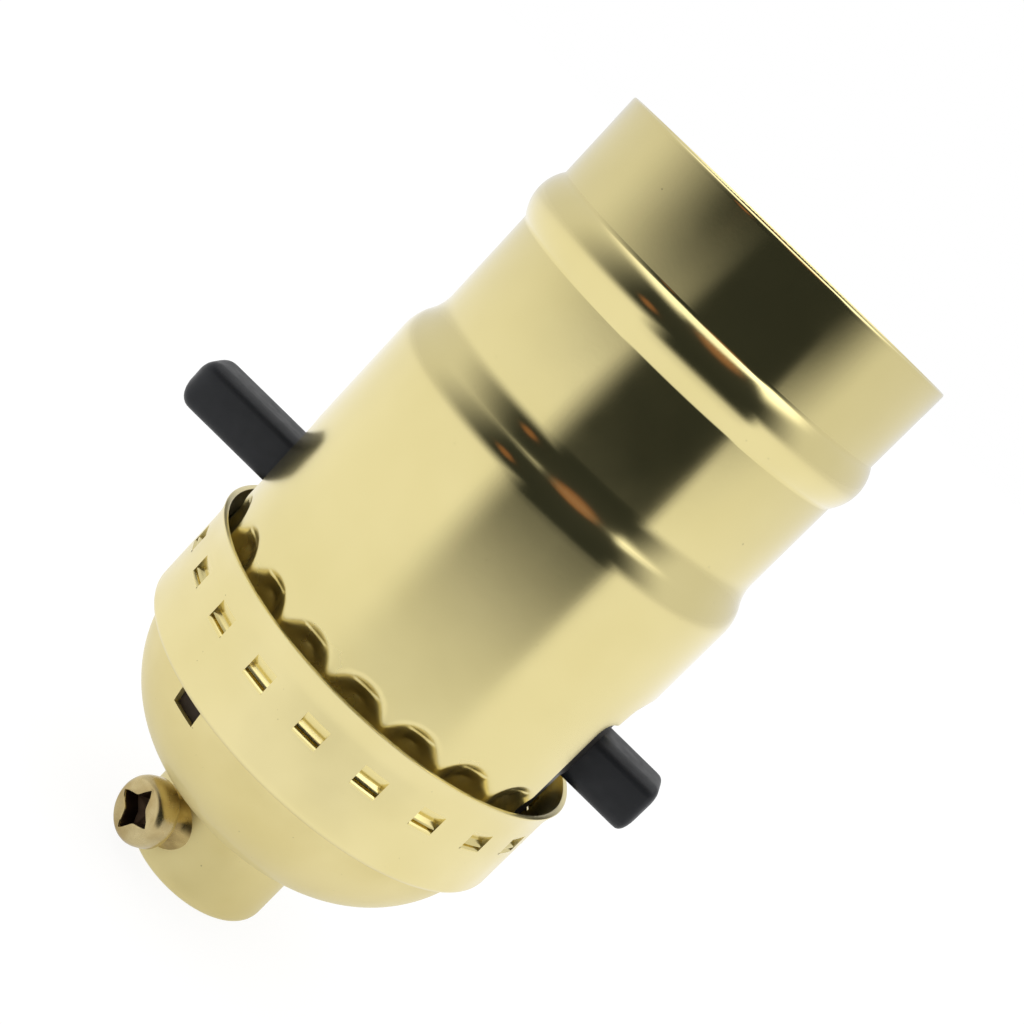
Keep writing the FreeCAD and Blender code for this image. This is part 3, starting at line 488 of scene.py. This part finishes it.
# The cut edges of the slots, and the shell's lower edge
for centre in SLOT_AT:
    left, right = centre - SLOT_HALF, centre + SLOT_HALF
    top = sorted(left + turn_from(c, left) for c in columns if in_slot(c))
    border = [(left, slot_height(left, z)) for z in rows[:slot_row + 1]]
    border += [(a, slot_height(a, SLOT_TOP)) for a in top]
    border += [(right, slot_height(right, z)) for z in reversed(rows[:slot_row + 1])]
    shell.grid([[at(shell_radius(a, z), a, z) for a, z in border],
                [at(inside_radius(a, z), a, z) for a, z in border]], closed=False)
shell.grid([[at(inside_radius(a, SHELL_FOOT), a, SHELL_FOOT) for a in columns],
            [at(shell_radius(a, SHELL_FOOT), a, SHELL_FOOT) for a in columns]],
           drop=lambda i, j: in_slot(middle(columns, j)))
shell_piece = shell.make("drawn_shell", SHELL_BRASS, 42)
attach(shell_piece, "base")
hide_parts("outer_shell")


# ---------------------------------------------------------------- cap

NECK_R = 7.1
NECK_ROUND = 1.2
LIP_R = 5.4
STEP_ROUND = 0.62
FLARE_FOOT = 25.3

# The dome's section is an arc about a centre off the axis
DOME_C = (5.76, 19.14)
DOME_R = 11.66
DOME_TOP = 17.45

# A window's half width, and its lower and upper edge
WINDOW_HALF = 1.16
WINDOW = (22.9, 24.65)

# The square hole at the top of the dome; the columns near it are moved onto its sides
HOLE_AT = -29.2
HOLE_HALF = math.degrees(math.asin(1.45 / 17.3))
HOLE_FOOT = 15.87
HOLE_PULL_Z = 1.6
HOLE_PULL_TURN = 4.0


def dome_point(radius, height):
    """The point (radius, height) where the dome's arc, or its inner one, has a height."""
    return (DOME_C[0] + math.sqrt(radius ** 2 - (DOME_C[1] - height) ** 2), height)


def dome_angle(height):
    """The angle on the dome's arc that has a height."""
    return -math.degrees(math.asin((DOME_C[1] - height) / DOME_R))


# The cap's outside as (radius, height), from the neck's lip up to the rim
outside = [(LIP_R, 0.0), (LIP_R + 0.25, 0.0)]
outside += path_arc((NECK_R - NECK_ROUND, NECK_ROUND), NECK_ROUND, -90, 0, 8)
outside += [(NECK_R, z) for z in (1.6, 2.6, 4.0, 5.5, 6.6)]
foot_z = DOME_C[1] - math.sqrt(DOME_R ** 2 - (NECK_R - DOME_C[0]) ** 2)
outside += [(NECK_R, foot_z - 0.45), (NECK_R + 0.03, foot_z - 0.2), (NECK_R + 0.16, foot_z - 0.03)]
low_angle = -math.degrees(math.acos((NECK_R + 0.5 - DOME_C[0]) / DOME_R))
hole_angle = dome_angle(HOLE_FOOT)
top_angle = dome_angle(DOME_TOP)
outside += path_arc(DOME_C, DOME_R, low_angle, hole_angle, 26)
hole_low = len(outside) - 1
outside += path_arc(DOME_C, DOME_R, hole_angle, top_angle, 5)[1:]
hole_high = len(outside) - 1
edge_r = outside[-1][0]
outside += [(edge_r + 0.06, DOME_TOP + 0.10), (edge_r + 0.25, DOME_TOP + 0.22)]
outside += [(WALL_R - STEP_ROUND, DOME_TOP + 0.26)]
outside += path_arc((WALL_R - STEP_ROUND, DOME_TOP + 0.90), STEP_ROUND, -78, 0, 9)
outside += [(WALL_R, z) for z in (18.7, 19.6, 20.8, 21.9, 22.6, WINDOW[0])]
window_low = len(outside) - 1
outside += [(WALL_R, z) for z in (23.2, 23.6, 24.0, 24.4, WINDOW[1])]
window_high = len(outside) - 1
for t in steps(0, 1, 9):
    outside.append((WALL_R + (RIM_R - WALL_R) * t * t, FLARE_FOOT + (RIM - 0.1 - FLARE_FOOT) * t))
outside += [(RIM_R - 0.02, RIM - 0.04), (RIM_R - 0.1, RIM), (RIM_R - 0.38, RIM), (RIM_R - 0.46, RIM - 0.05)]

window_places = (0.0, 0.35, 0.7, 0.98, WINDOW_HALF, 1.4, 1.85, 2.35)
cap_cols = snap_columns(window_places, 2.91, WINDOW_TURN, WALL_R)


def in_window(turn):
    """Whether an angle lies within one of the windows."""
    near = round((turn - WINDOW_TURN) / PITCH) * PITCH + WINDOW_TURN
    return abs(turn_from(turn, near)) < math.degrees(WINDOW_HALF / WALL_R)


def hole_shift(turn, height):
    """A column's angle at a height, bent near the dome's hole so that the nearest two follow its sides."""
    reach = ease(1 - max(HOLE_FOOT - height, height - DOME_TOP, 0) / HOLE_PULL_Z)
    if reach <= 0:
        return turn
    off = turn_from(turn, HOLE_AT)
    side = 1 if off > 0 else -1
    best = min((turn_from(c, HOLE_AT) for c in cap_cols if turn_from(c, HOLE_AT) * side > 0),
               key=lambda v: abs(abs(v) - HOLE_HALF))
    gap = abs(abs(off) - abs(best))
    pull = (HOLE_HALF - abs(best)) * ease(1 - gap / HOLE_PULL_TURN) * side
    return turn + pull * reach


def cap_column(j, z):
    """The angle of one of the cap's columns at a height."""
    return hole_shift(cap_cols[j % len(cap_cols)], z)


cap = Sheet()
cap_rows = [[at(r, cap_column(j, z), z) for j in range(len(cap_cols))] for r, z in outside]


def hole_face(j):
    """Whether the face between a column and the next is in the dome's hole."""
    first, second = cap_column(j, DOME_TOP), cap_column(j + 1, DOME_TOP)
    centre = first + turn_from(second, first) / 2
    return abs(turn_from(centre, HOLE_AT)) < HOLE_HALF


def cap_gap(i, j):
    """Whether a face of the outside is open, as part of a window or of the dome's hole."""
    if window_low <= i < window_high and in_window(middle(cap_cols, j)):
        return True
    return hole_low <= i < hole_high and hole_face(j)


cap.grid(cap_rows, drop=cap_gap)

# The cap's inside, from the rim down to the neck's lip
inner_wall = WALL_R - CAP_T
inner_dome = DOME_R - CAP_T
inner_neck = NECK_R - CAP_T
inside = [(RIM_R - 0.46, RIM - 0.05), (inner_wall + 0.12, 26.3)]
inside += [(inner_wall, z) for z in (25.4, WINDOW[1], WINDOW[0], 20.0, 18.6)] + [(inner_wall - 0.25, 18.3)]
inside += [dome_point(inner_dome, z) for z in (17.9, DOME_TOP, HOLE_FOOT, 14.5, 13.0, 11.5, 10.2, 9.2, 8.6)]
inside += [(inner_neck, 7.9), (inner_neck, 1.2), (inner_neck - 0.25, 0.75)]
inside += [(LIP_R + 0.5, 0.5), (LIP_R, 0.5), (LIP_R, 0.0)]
inner_heights = [z for r, z in inside]
inner_win = inner_heights.index(WINDOW[1])
inner_hole = inner_heights.index(DOME_TOP)


def inner_gap(i, j):
    """The same for the inside."""
    if i == inner_win and in_window(middle(cap_cols, j)):
        return True
    return i == inner_hole and hole_face(j)


cap.grid([[at(r, cap_column(j, z), z) for j in range(len(cap_cols))] for r, z in inside], drop=inner_gap)

# Windows: two sheared sides, the rounded lower edge, and the tongue that bends in from the upper edge. Depths
# are from the wall's face; the tongue's drop is from the upper edge, the sill's height from the lower edge
TONGUE = [(0.40 * t ** 1.2, 0.90 * t) for t in steps(0, 1, 8)]
TONGUE += [(0.42, 0.96), (0.34, 1.05), (0.20, 1.17), (0.08, 1.29), (0.05, 1.37), (0.10, 1.43)]
TONGUE_T = 0.3
SILL = [(0.0, -0.22), (-0.035, -0.12), (-0.03, -0.04), (0.05, 0.04)]
SILL += [(0.20, 0.14), (0.36, 0.23), (CAP_T, 0.25)]


def tongue_side(turn, behind):
    """The tongue's section at an angle, on its face or so far behind it."""
    return [at(WALL_R - depth - behind, turn, WINDOW[1] - drop) for depth, drop in TONGUE]


lance = Sheet()
half_turn = math.degrees(WINDOW_HALF / WALL_R)
window_rows = [z for r, z in outside[window_low:window_high + 1]]
for k in range(SNAP_COUNT):
    turns = [c for c in cap_cols if abs(turn_from(c, k * PITCH + WINDOW_TURN)) <= half_turn + 1e-6]
    face = list(zip(*[tongue_side(a, 0.0) for a in turns]))
    back = list(zip(*[tongue_side(a, TONGUE_T) for a in turns]))[::-1]
    lance.grid(face, closed=False, flip=True)
    lance.grid(back, closed=False)
    lance.grid([face[-1], back[0]], closed=False, flip=True)
    for a, flip in ((turns[0], False), (turns[-1], True)):
        lance.grid([tongue_side(a, 0.0), tongue_side(a, TONGUE_T)], closed=False, flip=flip)
        cap.grid([[at(WALL_R, a, z) for z in window_rows],
                  [at(inner_wall, a, z) for z in window_rows]], closed=False, flip=not flip)
    lance.grid([[at(WALL_R - d, a, WINDOW[0] + z) for a in turns] for d, z in SILL], closed=False)

# The cut edges of the square hole in the dome
hole_turns = sorted(turn_from(cap_column(j, DOME_TOP), 0) for j in range(len(cap_cols))
                    if abs(turn_from(cap_column(j, DOME_TOP), HOLE_AT)) <= HOLE_HALF + 0.05)
hole_side = outside[hole_low:hole_high + 1]
for a, flip in ((hole_turns[0], True), (hole_turns[-1], False)):
    cap.grid([[at(r, a, z) for r, z in hole_side],
              [at(dome_point(inner_dome, z)[0], a, z) for r, z in hole_side]], closed=False, flip=flip)
for z, r, flip in ((HOLE_FOOT, outside[hole_low][0], False), (DOME_TOP, outside[hole_high][0], True)):
    cap.grid([[at(r, a, z) for a in hole_turns],
              [at(dome_point(inner_dome, z)[0], a, z) for a in hole_turns]], closed=False, flip=flip)
cap_piece = cap.make("drawn_cap", CAP_BRASS, 40)
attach(cap_piece, "base")
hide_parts("cap")
lance_piece = lance.make("window_tongues", CUT_BRASS, 40)
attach(lance_piece, "base")


# ---------------------------------------------------------------- set screw and its boss

SCREW_TURN = -35.2
SCREW_Z = 4.35
HEAD_END = 10.7
CROWN_R = 2.4
RECESS_DEPTH = 1.3
STAR_R = 2.12
STAR_HOLLOW = 0.94
out_dir = Vector(at(1, SCREW_TURN, 0))
side_dir = Vector(at(1, SCREW_TURN + 90, 0))
up_dir = Vector((0, 0, 1))


def on_screw(along, radius, angle):
    """A point by its distance from the socket's axis, and its radius and angle about the screw."""
    t = math.radians(angle)
    p = out_dir * along + side_dir * (radius * math.cos(t)) + up_dir * (radius * math.sin(t) + SCREW_Z)
    return tuple(p)


# The boss swells out of the neck round the screw; its outline is (distance from the axis, radius)
boss = Sheet()
ring = steps(0, 360, 64)[:-1]
outline = [(5.6, 3.5), (6.4, 3.0), (6.9, 2.62), (7.25, 2.38), (7.6, 2.24), (7.95, 2.17)]
outline += [(8.06, 2.14), (8.1, 2.1), (8.1, 2.04), (8.0, 2.0), (6.6, 2.0)]
boss.grid([[on_screw(s, r, t) for t in ring] for s, r in outline])
# Its darker brass is painted shade under the dome
boss_piece = boss.make("neck_boss", BOSS_PAINTED_SHADE)
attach(boss_piece, "base")

screw = Sheet()
ring = steps(0, 360, 96)[:-1]


def star(angle):
    """The recess's outline: four points with hollow sides between them."""
    t = abs((angle + 45) % 90 - 45) / 45
    return STAR_R - STAR_HOLLOW * (1 - (1 - t) ** 1.9)


# The shank and the head's side, then the head's crowned end, the recess's walls and its floor
outline = [(5.0, 0.0), (5.0, 1.5), (5.4, 1.93), (8.2, 1.93)]
outline += [(8.55, 2.1), (8.56, 2.7), (8.66, 2.93), (8.85, 3.0), (9.4, 3.0), (9.8, 2.98)]
outline += [(10.15, 2.9), (10.42, 2.76), (10.6, 2.58), (HEAD_END, CROWN_R)]
screw.grid([[on_screw(s, r, t) for t in ring] for s, r in outline])
recess_edge = HEAD_END - 0.04
end = []
for step in steps(0, 1, 6):
    crown = 0.1 * ease(step) - 0.06 * ease((step - 0.8) / 0.2)
    end.append([on_screw(HEAD_END + crown, CROWN_R + (star(t) + 0.02 - CROWN_R) * step, t) for t in ring])
end.append([on_screw(recess_edge, star(t) - 0.03, t) for t in ring])
for depth in (0.3, 0.8, RECESS_DEPTH):
    end.append([on_screw(recess_edge - depth, (star(t) - 0.05) * (1 - 0.06 * depth), t) for t in ring])
for step in (0.6, 0.3, 0.02):
    floor_at = recess_edge - RECESS_DEPTH - 0.08 - 0.1 * (1 - step)
    end.append([on_screw(floor_at, (star(t) - 0.1) * step * 0.9, t) for t in ring])
screw.grid(end)
screw_piece = screw.make("star_screw", SCREW_BRASS, 35)
# Faces inside the recess take the painted shade of the hollow
screw_piece.data.materials.append(RECESS_PAINTED_SHADE)
for polygon in screw_piece.data.polygons:
    centre = polygon.center / MM
    along = centre.dot(out_dir)
    off_axis = (centre - out_dir * along - up_dir * SCREW_Z).length
    if 9.0 < along < recess_edge - 0.02 and off_axis < STAR_R + 0.03:
        polygon.material_index = 1
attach(screw_piece, "set_screw")
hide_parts("set_screw")


# ---------------------------------------------------------------- push bar

# A square bar with rounded corners: thin over most of its length, thicker from the step to its right end
bar_low, bar_high = corners("push_bar")
BAR_Z = (bar_low.z + bar_high.z) / 2
half_side = (bar_high.z - bar_low.z) / 2
half_thin = 4.7 / 2
CORNER = 1.1
STEP_X = 15.6
STEP_RAMP = 0.6
bar = Sheet()
section = []
for quarter, (cx, cy) in enumerate(((1, 1), (-1, 1), (-1, -1), (1, -1))):
    for t in steps(0, 90, 8):
        angle = math.radians(t + 90 * quarter)
        section.append((cx * (half_side - CORNER) + CORNER * math.cos(angle),
                        cy * (half_side - CORNER) + CORNER * math.sin(angle)))


def end_ring(scale, side, reach, power, half_width):
    """A ring of the bar's rounded end: reach is how long the rounding is, power how square it looks."""
    back = reach * (1 - (1 - scale ** power) ** (1 / power))
    tip = bar_low.x if side < 0 else bar_high.x
    k = half_width / half_side
    return [(tip - side * back, y * k * scale, BAR_Z + z * k * scale) for y, z in section]


def bar_rings(xs, half_width):
    """Rings of the bar's straight stretches."""
    k = half_width / half_side
    return [[(x, y * k, BAR_Z + z * k) for y, z in section] for x in xs]


scales = (0.02, 0.25, 0.45, 0.62, 0.75, 0.85, 0.92, 0.965, 0.99, 1.0)
left_end = [end_ring(s, -1, 1.75, 2.3, half_thin) for s in scales]
right_end = [end_ring(s, 1, 1.15, 3.0, half_side) for s in scales]
body = bar_rings(steps(bar_low.x + 2.2, STEP_X, 8), half_thin)
body += bar_rings(steps(STEP_X + STEP_RAMP, bar_high.x - 1.3, 3), half_side)
bar.grid(left_end + body + right_end[::-1])
bar_piece = bar.make("push_bar_moulded", BAR_BLACK, 50)
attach(bar_piece, "push_bar")
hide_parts("push_bar")


# ---------------------------------------------------------------- screw shell with its rolled thread

THREAD_R = 12.95
THREAD_RISE = 0.42
THREAD_PITCH = 3.63
THREAD_T = 0.38
FLANGE_R = 10.5
FLANGE_T = 0.4
low, high = corners("screw_shell")
thread = Sheet()
ring = steps(0, 360, 120)[:-1]


def thread_radius(angle, z, extra):
    """A radius of the thread, which fades out towards the flange and the upper edge."""
    swell = ease((z - low.z - 1.5) / 2.0) * ease((high.z - 0.8 - z) / 1.6)
    wave = math.sin(math.radians(angle) + 2 * math.pi * z / THREAD_PITCH)
    return THREAD_R + extra + THREAD_RISE * swell * wave


heights = steps(low.z + FLANGE_T, high.z, 84)
skin = [[at(thread_radius(t, z, 0.0), t, z) for t in ring] for z in heights]
skin += [[at(thread_radius(t, z, THREAD_T), t, z) for t in ring] for z in reversed(heights)]
thread.grid(skin, flip=True)
foot, seat, outer_r = low.z, low.z + FLANGE_T, THREAD_R + THREAD_T
flange = [(outer_r, seat), (outer_r, foot), (FLANGE_R, foot), (FLANGE_R, seat), (THREAD_R, seat)]
thread.grid([[at(r, t, z) for t in ring] for r, z in flange], flip=True)
thread_piece = thread.make("rolled_screw_shell", THREAD_BRASS, 50)
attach(thread_piece, "base")
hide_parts("screw_shell")


# ---------------------------------------------------------------- the other CAD nodes

finishes = {
    "switch_base": PHENOLIC, "upper_body": PHENOLIC, "shell_liner": FIBRE, "cap_liner": FIBRE,
    "nipple_bushing": STEEL, "contact_rocker": BRONZE, "center_contact": BRONZE, "fixed_contact": BRONZE,
    "center_rivet": THREAD_BRASS, "detent_spring": SPRING, "hot_terminal": BRONZE, "neutral_terminal": NICKEL,
    "hot_screw": SCREW_BRASS, "neutral_screw": NICKEL, "rocker_pin": STEEL, "assembly_screws": STEEL,
}
for name, mat in finishes.items():
    nodes[name].data.materials.clear()
    nodes[name].data.materials.append(mat)


# ---------------------------------------------------------------- camera

# It stands a little to the right, looks down on the socket and is rolled, so that the socket lies aslant
CAMERA_OFF = 142.358
CAMERA_Z = 73.555
CAMERA_TURN = 0.8
CAMERA_AIM = 1.2586
CAMERA_TILT = math.radians(12.5)
CAMERA_ROLL = math.radians(44.0384)
camera = bpy.data.cameras.new("camera")
camera.sensor_width = 36
camera.lens = 62.97
camera.clip_start = 0.005
camera.clip_end = 20
eye = bpy.data.objects.new("camera", camera)
scene.collection.objects.link(eye)
back = Vector(at(math.cos(CAMERA_TILT), CAMERA_AIM, math.sin(CAMERA_TILT)))
level = Vector(at(1, CAMERA_AIM + 90, 0))
rotation = Matrix((level, back.cross(level), back)).transposed() @ Matrix.Rotation(CAMERA_ROLL, 3, "Z")
place = Vector(at(CAMERA_OFF, CAMERA_TURN, CAMERA_Z)) * MM
eye.matrix_world = Matrix.Translation(place) @ rotation.to_4x4()
scene.camera = eye


# ---------------------------------------------------------------- floor, dark screen and world

class Shader:
    """A few short ways to add nodes to one node tree."""

    def __init__(self, tree):
        self.tree = tree
        tree.nodes.clear()

    def node(self, kind, **settings):
        """A new node with some of its properties set."""
        node = self.tree.nodes.new(kind)
        for key, value in settings.items():
            setattr(node, key, value)
        return node

    def feed(self, socket, value):
        """Sets a socket to a number or colour, or links another node's output to it."""
        if isinstance(value, (int, float, tuple)):
            socket.default_value = value
        elif value is not None:
            self.tree.links.new(value, socket)

    def calc(self, op, a, b=None):
        """One step of arithmetic; numbers and outputs mix freely."""
        node = self.node("ShaderNodeMath", operation=op)
        self.feed(node.inputs[0], a)
        self.feed(node.inputs[1], b)
        return node.outputs[0]

    def times(self, *values):
        """The product of two values or more."""
        product = values[0]
        for value in values[1:]:
            product = self.calc("MULTIPLY", product, value)
        return product

    def fade(self, value, low, high):
        """0 at low and 1 at high, smooth between; low may be the larger."""
        node = self.node("ShaderNodeMapRange", interpolation_type="SMOOTHSTEP")
        node.inputs["From Min"].default_value = low
        node.inputs["From Max"].default_value = high
        self.feed(node.inputs["Value"], value)
        return node.outputs[0]

    def colour(self, fac, a, b):
        """Colour a where fac is 0, colour b where it is 1."""
        node = self.node("ShaderNodeMix", data_type="RGBA")
        self.feed(node.inputs[0], fac)
        self.feed(node.inputs[6], a)
        self.feed(node.inputs[7], b)
        return node.outputs[2]

    def grey(self, level):
        """A grey of one level."""
        node = self.node("ShaderNodeCombineColor")
        for socket in node.inputs[:3]:
            self.feed(socket, level)
        return node.outputs[0]

    def compass(self, vector):
        """Turn in degrees from -Y towards +X, and the three coordinates."""
        parts = self.node("ShaderNodeSeparateXYZ")
        self.feed(parts.inputs[0], vector)
        angle = self.calc("ARCTAN2", parts.outputs[0], self.times(parts.outputs[1], -1.0))
        return self.times(angle, 180 / math.pi), parts.outputs


def screen_core(sh, turn):
    """1 in front of the dark screen's core and 0 beside it, by the turn round the socket."""
    return sh.times(sh.fade(turn, -30, -8), sh.fade(turn, 53, 42))


def stage_material(name):
    """A material with nothing but its output, and the Shader to fill it."""
    mat = bpy.data.materials.new(name)
    mat.use_nodes = True
    sh = Shader(mat.node_tree)
    return mat, sh, sh.node("ShaderNodeOutputMaterial")


# How bright the studio is at eye level, and the floor where it is lit best
HORIZON = 0.80
FLOOR_LIGHT = 1.04
WHITE = (1.05, 1.05, 1.05, 1)

# The floor: white to the camera, but for the lamp holder's shadow. In polished metal it shows dimmer in the
# distance, and it carries a painted shadow close to the neck and a painted shadow where the dark screen
# stands
floor_mesh = bpy.data.meshes.new("floor")
floor_mesh.from_pydata([(-3, -3, 0), (3, -3, 0), (3, 3, 0), (-3, 3, 0)], [], [(0, 1, 2, 3)])
floor = bpy.data.objects.new("floor", floor_mesh)
scene.collection.objects.link(floor)
floor_mat, sh, out = stage_material("floor")
coord = sh.node("ShaderNodeTexCoord").outputs["Object"]
length = sh.node("ShaderNodeVectorMath", operation="LENGTH")
sh.feed(length.inputs[0], coord)
far = length.outputs["Value"]
turn = sh.compass(coord)[0]
path = sh.node("ShaderNodeLightPath").outputs
distance = sh.calc("SUBTRACT", FLOOR_LIGHT, sh.times(sh.fade(far, 0.08, 0.85), FLOOR_LIGHT - HORIZON))
# Painted shadow round the neck, seen only in polished metal: the floor's glow drops close to the axis
near = sh.calc("ADD", sh.times(sh.fade(far, 0.006, 0.034), 0.22), 0.78)
# Painted shadow of the dark screen, which casts no real shadow, seen only in polished metal
screen_painted_shadow = sh.times(screen_core(sh, turn), sh.fade(far, 0.070, 0.135))
light = sh.times(distance, near, sh.calc("SUBTRACT", 1.0, sh.times(screen_painted_shadow, 0.22)))
tone = sh.colour(path["Is Camera Ray"], sh.grey(light), WHITE)
glow = sh.node("ShaderNodeEmission")
sh.feed(glow.inputs[0], tone)
matt = sh.node("ShaderNodeBsdfDiffuse")
matt.inputs[0].default_value = (0.9, 0.9, 0.9, 1)
blend = sh.node("ShaderNodeMixShader")
seen = sh.calc("MAXIMUM", path["Is Camera Ray"], path["Is Glossy Ray"])
sh.feed(blend.inputs[0], sh.times(seen, 0.85))
sh.feed(blend.inputs[1], matt.outputs[0])
sh.feed(blend.inputs[2], glow.outputs[0])
sh.feed(out.inputs[0], blend.outputs[0])
floor_mesh.materials.append(floor_mat)

# A dark screen round the front, which the camera doesn't see: polished metal shows it as a dark band. Its
# core is darkest, its tails fade out to the sides, and two warm patches stand for brown things in the room
SCREEN_R = 140.0
SCREEN_TOP = 260.0
screen = Sheet()
screen.grid([[at(SCREEN_R, t, z) for t in steps(-135, 100, 80)] for z in (0.5, 60, 120, 180, SCREEN_TOP)],
            closed=False, flip=True)
screen_mat, sh, out = stage_material("dark_screen")
coord = sh.node("ShaderNodeTexCoord").outputs["Object"]
turn, xyz = sh.compass(coord)
height = sh.times(xyz[2], 1 / MM)
core = sh.times(screen_core(sh, turn), sh.fade(height, -12, 32), sh.fade(height, 240, 204))
left_tail = sh.times(sh.fade(turn, -95, -30), sh.fade(turn, 30, 10), sh.fade(height, 240, 160))
right_tail = sh.times(sh.fade(turn, 10, 30), sh.fade(turn, 80, 42), sh.fade(height, 180, 112))
tail = sh.times(sh.calc("MAXIMUM", left_tail, right_tail), sh.fade(height, 32, 72))
dark = sh.calc("MAXIMUM", core, tail)


def patch(turn_at, height_at, wide, tall):
    """An oval patch on the screen, 1 in its middle: its place and its half sizes in degrees and mm."""
    x = sh.calc("DIVIDE", sh.calc("SUBTRACT", turn, turn_at), wide)
    y = sh.calc("DIVIDE", sh.calc("SUBTRACT", height, height_at), tall)
    off = sh.calc("ADD", sh.times(x, x), sh.times(y, y))
    return sh.fade(off, 1.0, 0.15)


SCREEN_GREY = (0.028, 0.032, 0.030, 1)
SCREEN_WARM = (0.36, 0.16, 0.08, 1)
warm = sh.calc("ADD", patch(-28, 92, 7, 14), patch(15, 190, 22, 52))
paint = sh.colour(sh.times(warm, 0.85), SCREEN_GREY, SCREEN_WARM)
dull = sh.node("ShaderNodeEmission")
sh.feed(dull.inputs[0], paint)
clear = sh.node("ShaderNodeBsdfTransparent")
cover = sh.node("ShaderNodeMixShader")
sh.feed(cover.inputs[0], dark)
sh.feed(cover.inputs[1], clear.outputs[0])
sh.feed(cover.inputs[2], dull.outputs[0])
sh.feed(out.inputs[0], cover.outputs[0])
screen_piece = screen.make("dark_screen", screen_mat)
screen_piece.visible_camera = False
screen_piece.visible_diffuse = False
screen_piece.visible_shadow = False

# Studio white, brightest overhead, with a soft lamp high on the right
world = bpy.data.worlds.new("studio")
scene.world = world
world.use_nodes = True
sh = Shader(world.node_tree)
out = sh.node("ShaderNodeOutputWorld")
sky = sh.node("ShaderNodeBackground")
coord = sh.node("ShaderNodeTexCoord").outputs["Generated"]
turn, xyz = sh.compass(coord)
lift = sh.times(sh.calc("ARCSINE", xyz[2]), 180 / math.pi)
overhead = sh.calc("ADD", sh.times(sh.fade(lift, 36, 58), 0.75), HORIZON)
lamp = sh.times(sh.fade(turn, 22, 48), sh.fade(turn, 100, 78), sh.fade(lift, 30, 44), sh.fade(lift, 75, 60))
light = sh.calc("ADD", overhead, sh.times(lamp, 0.7))
path = sh.node("ShaderNodeLightPath").outputs
sh.feed(sky.inputs[0], sh.colour(path["Is Camera Ray"], sh.grey(light), (1, 1, 1, 1)))
sh.feed(out.inputs[0], sky.outputs[0])

scene.view_settings.view_transform = "Standard"
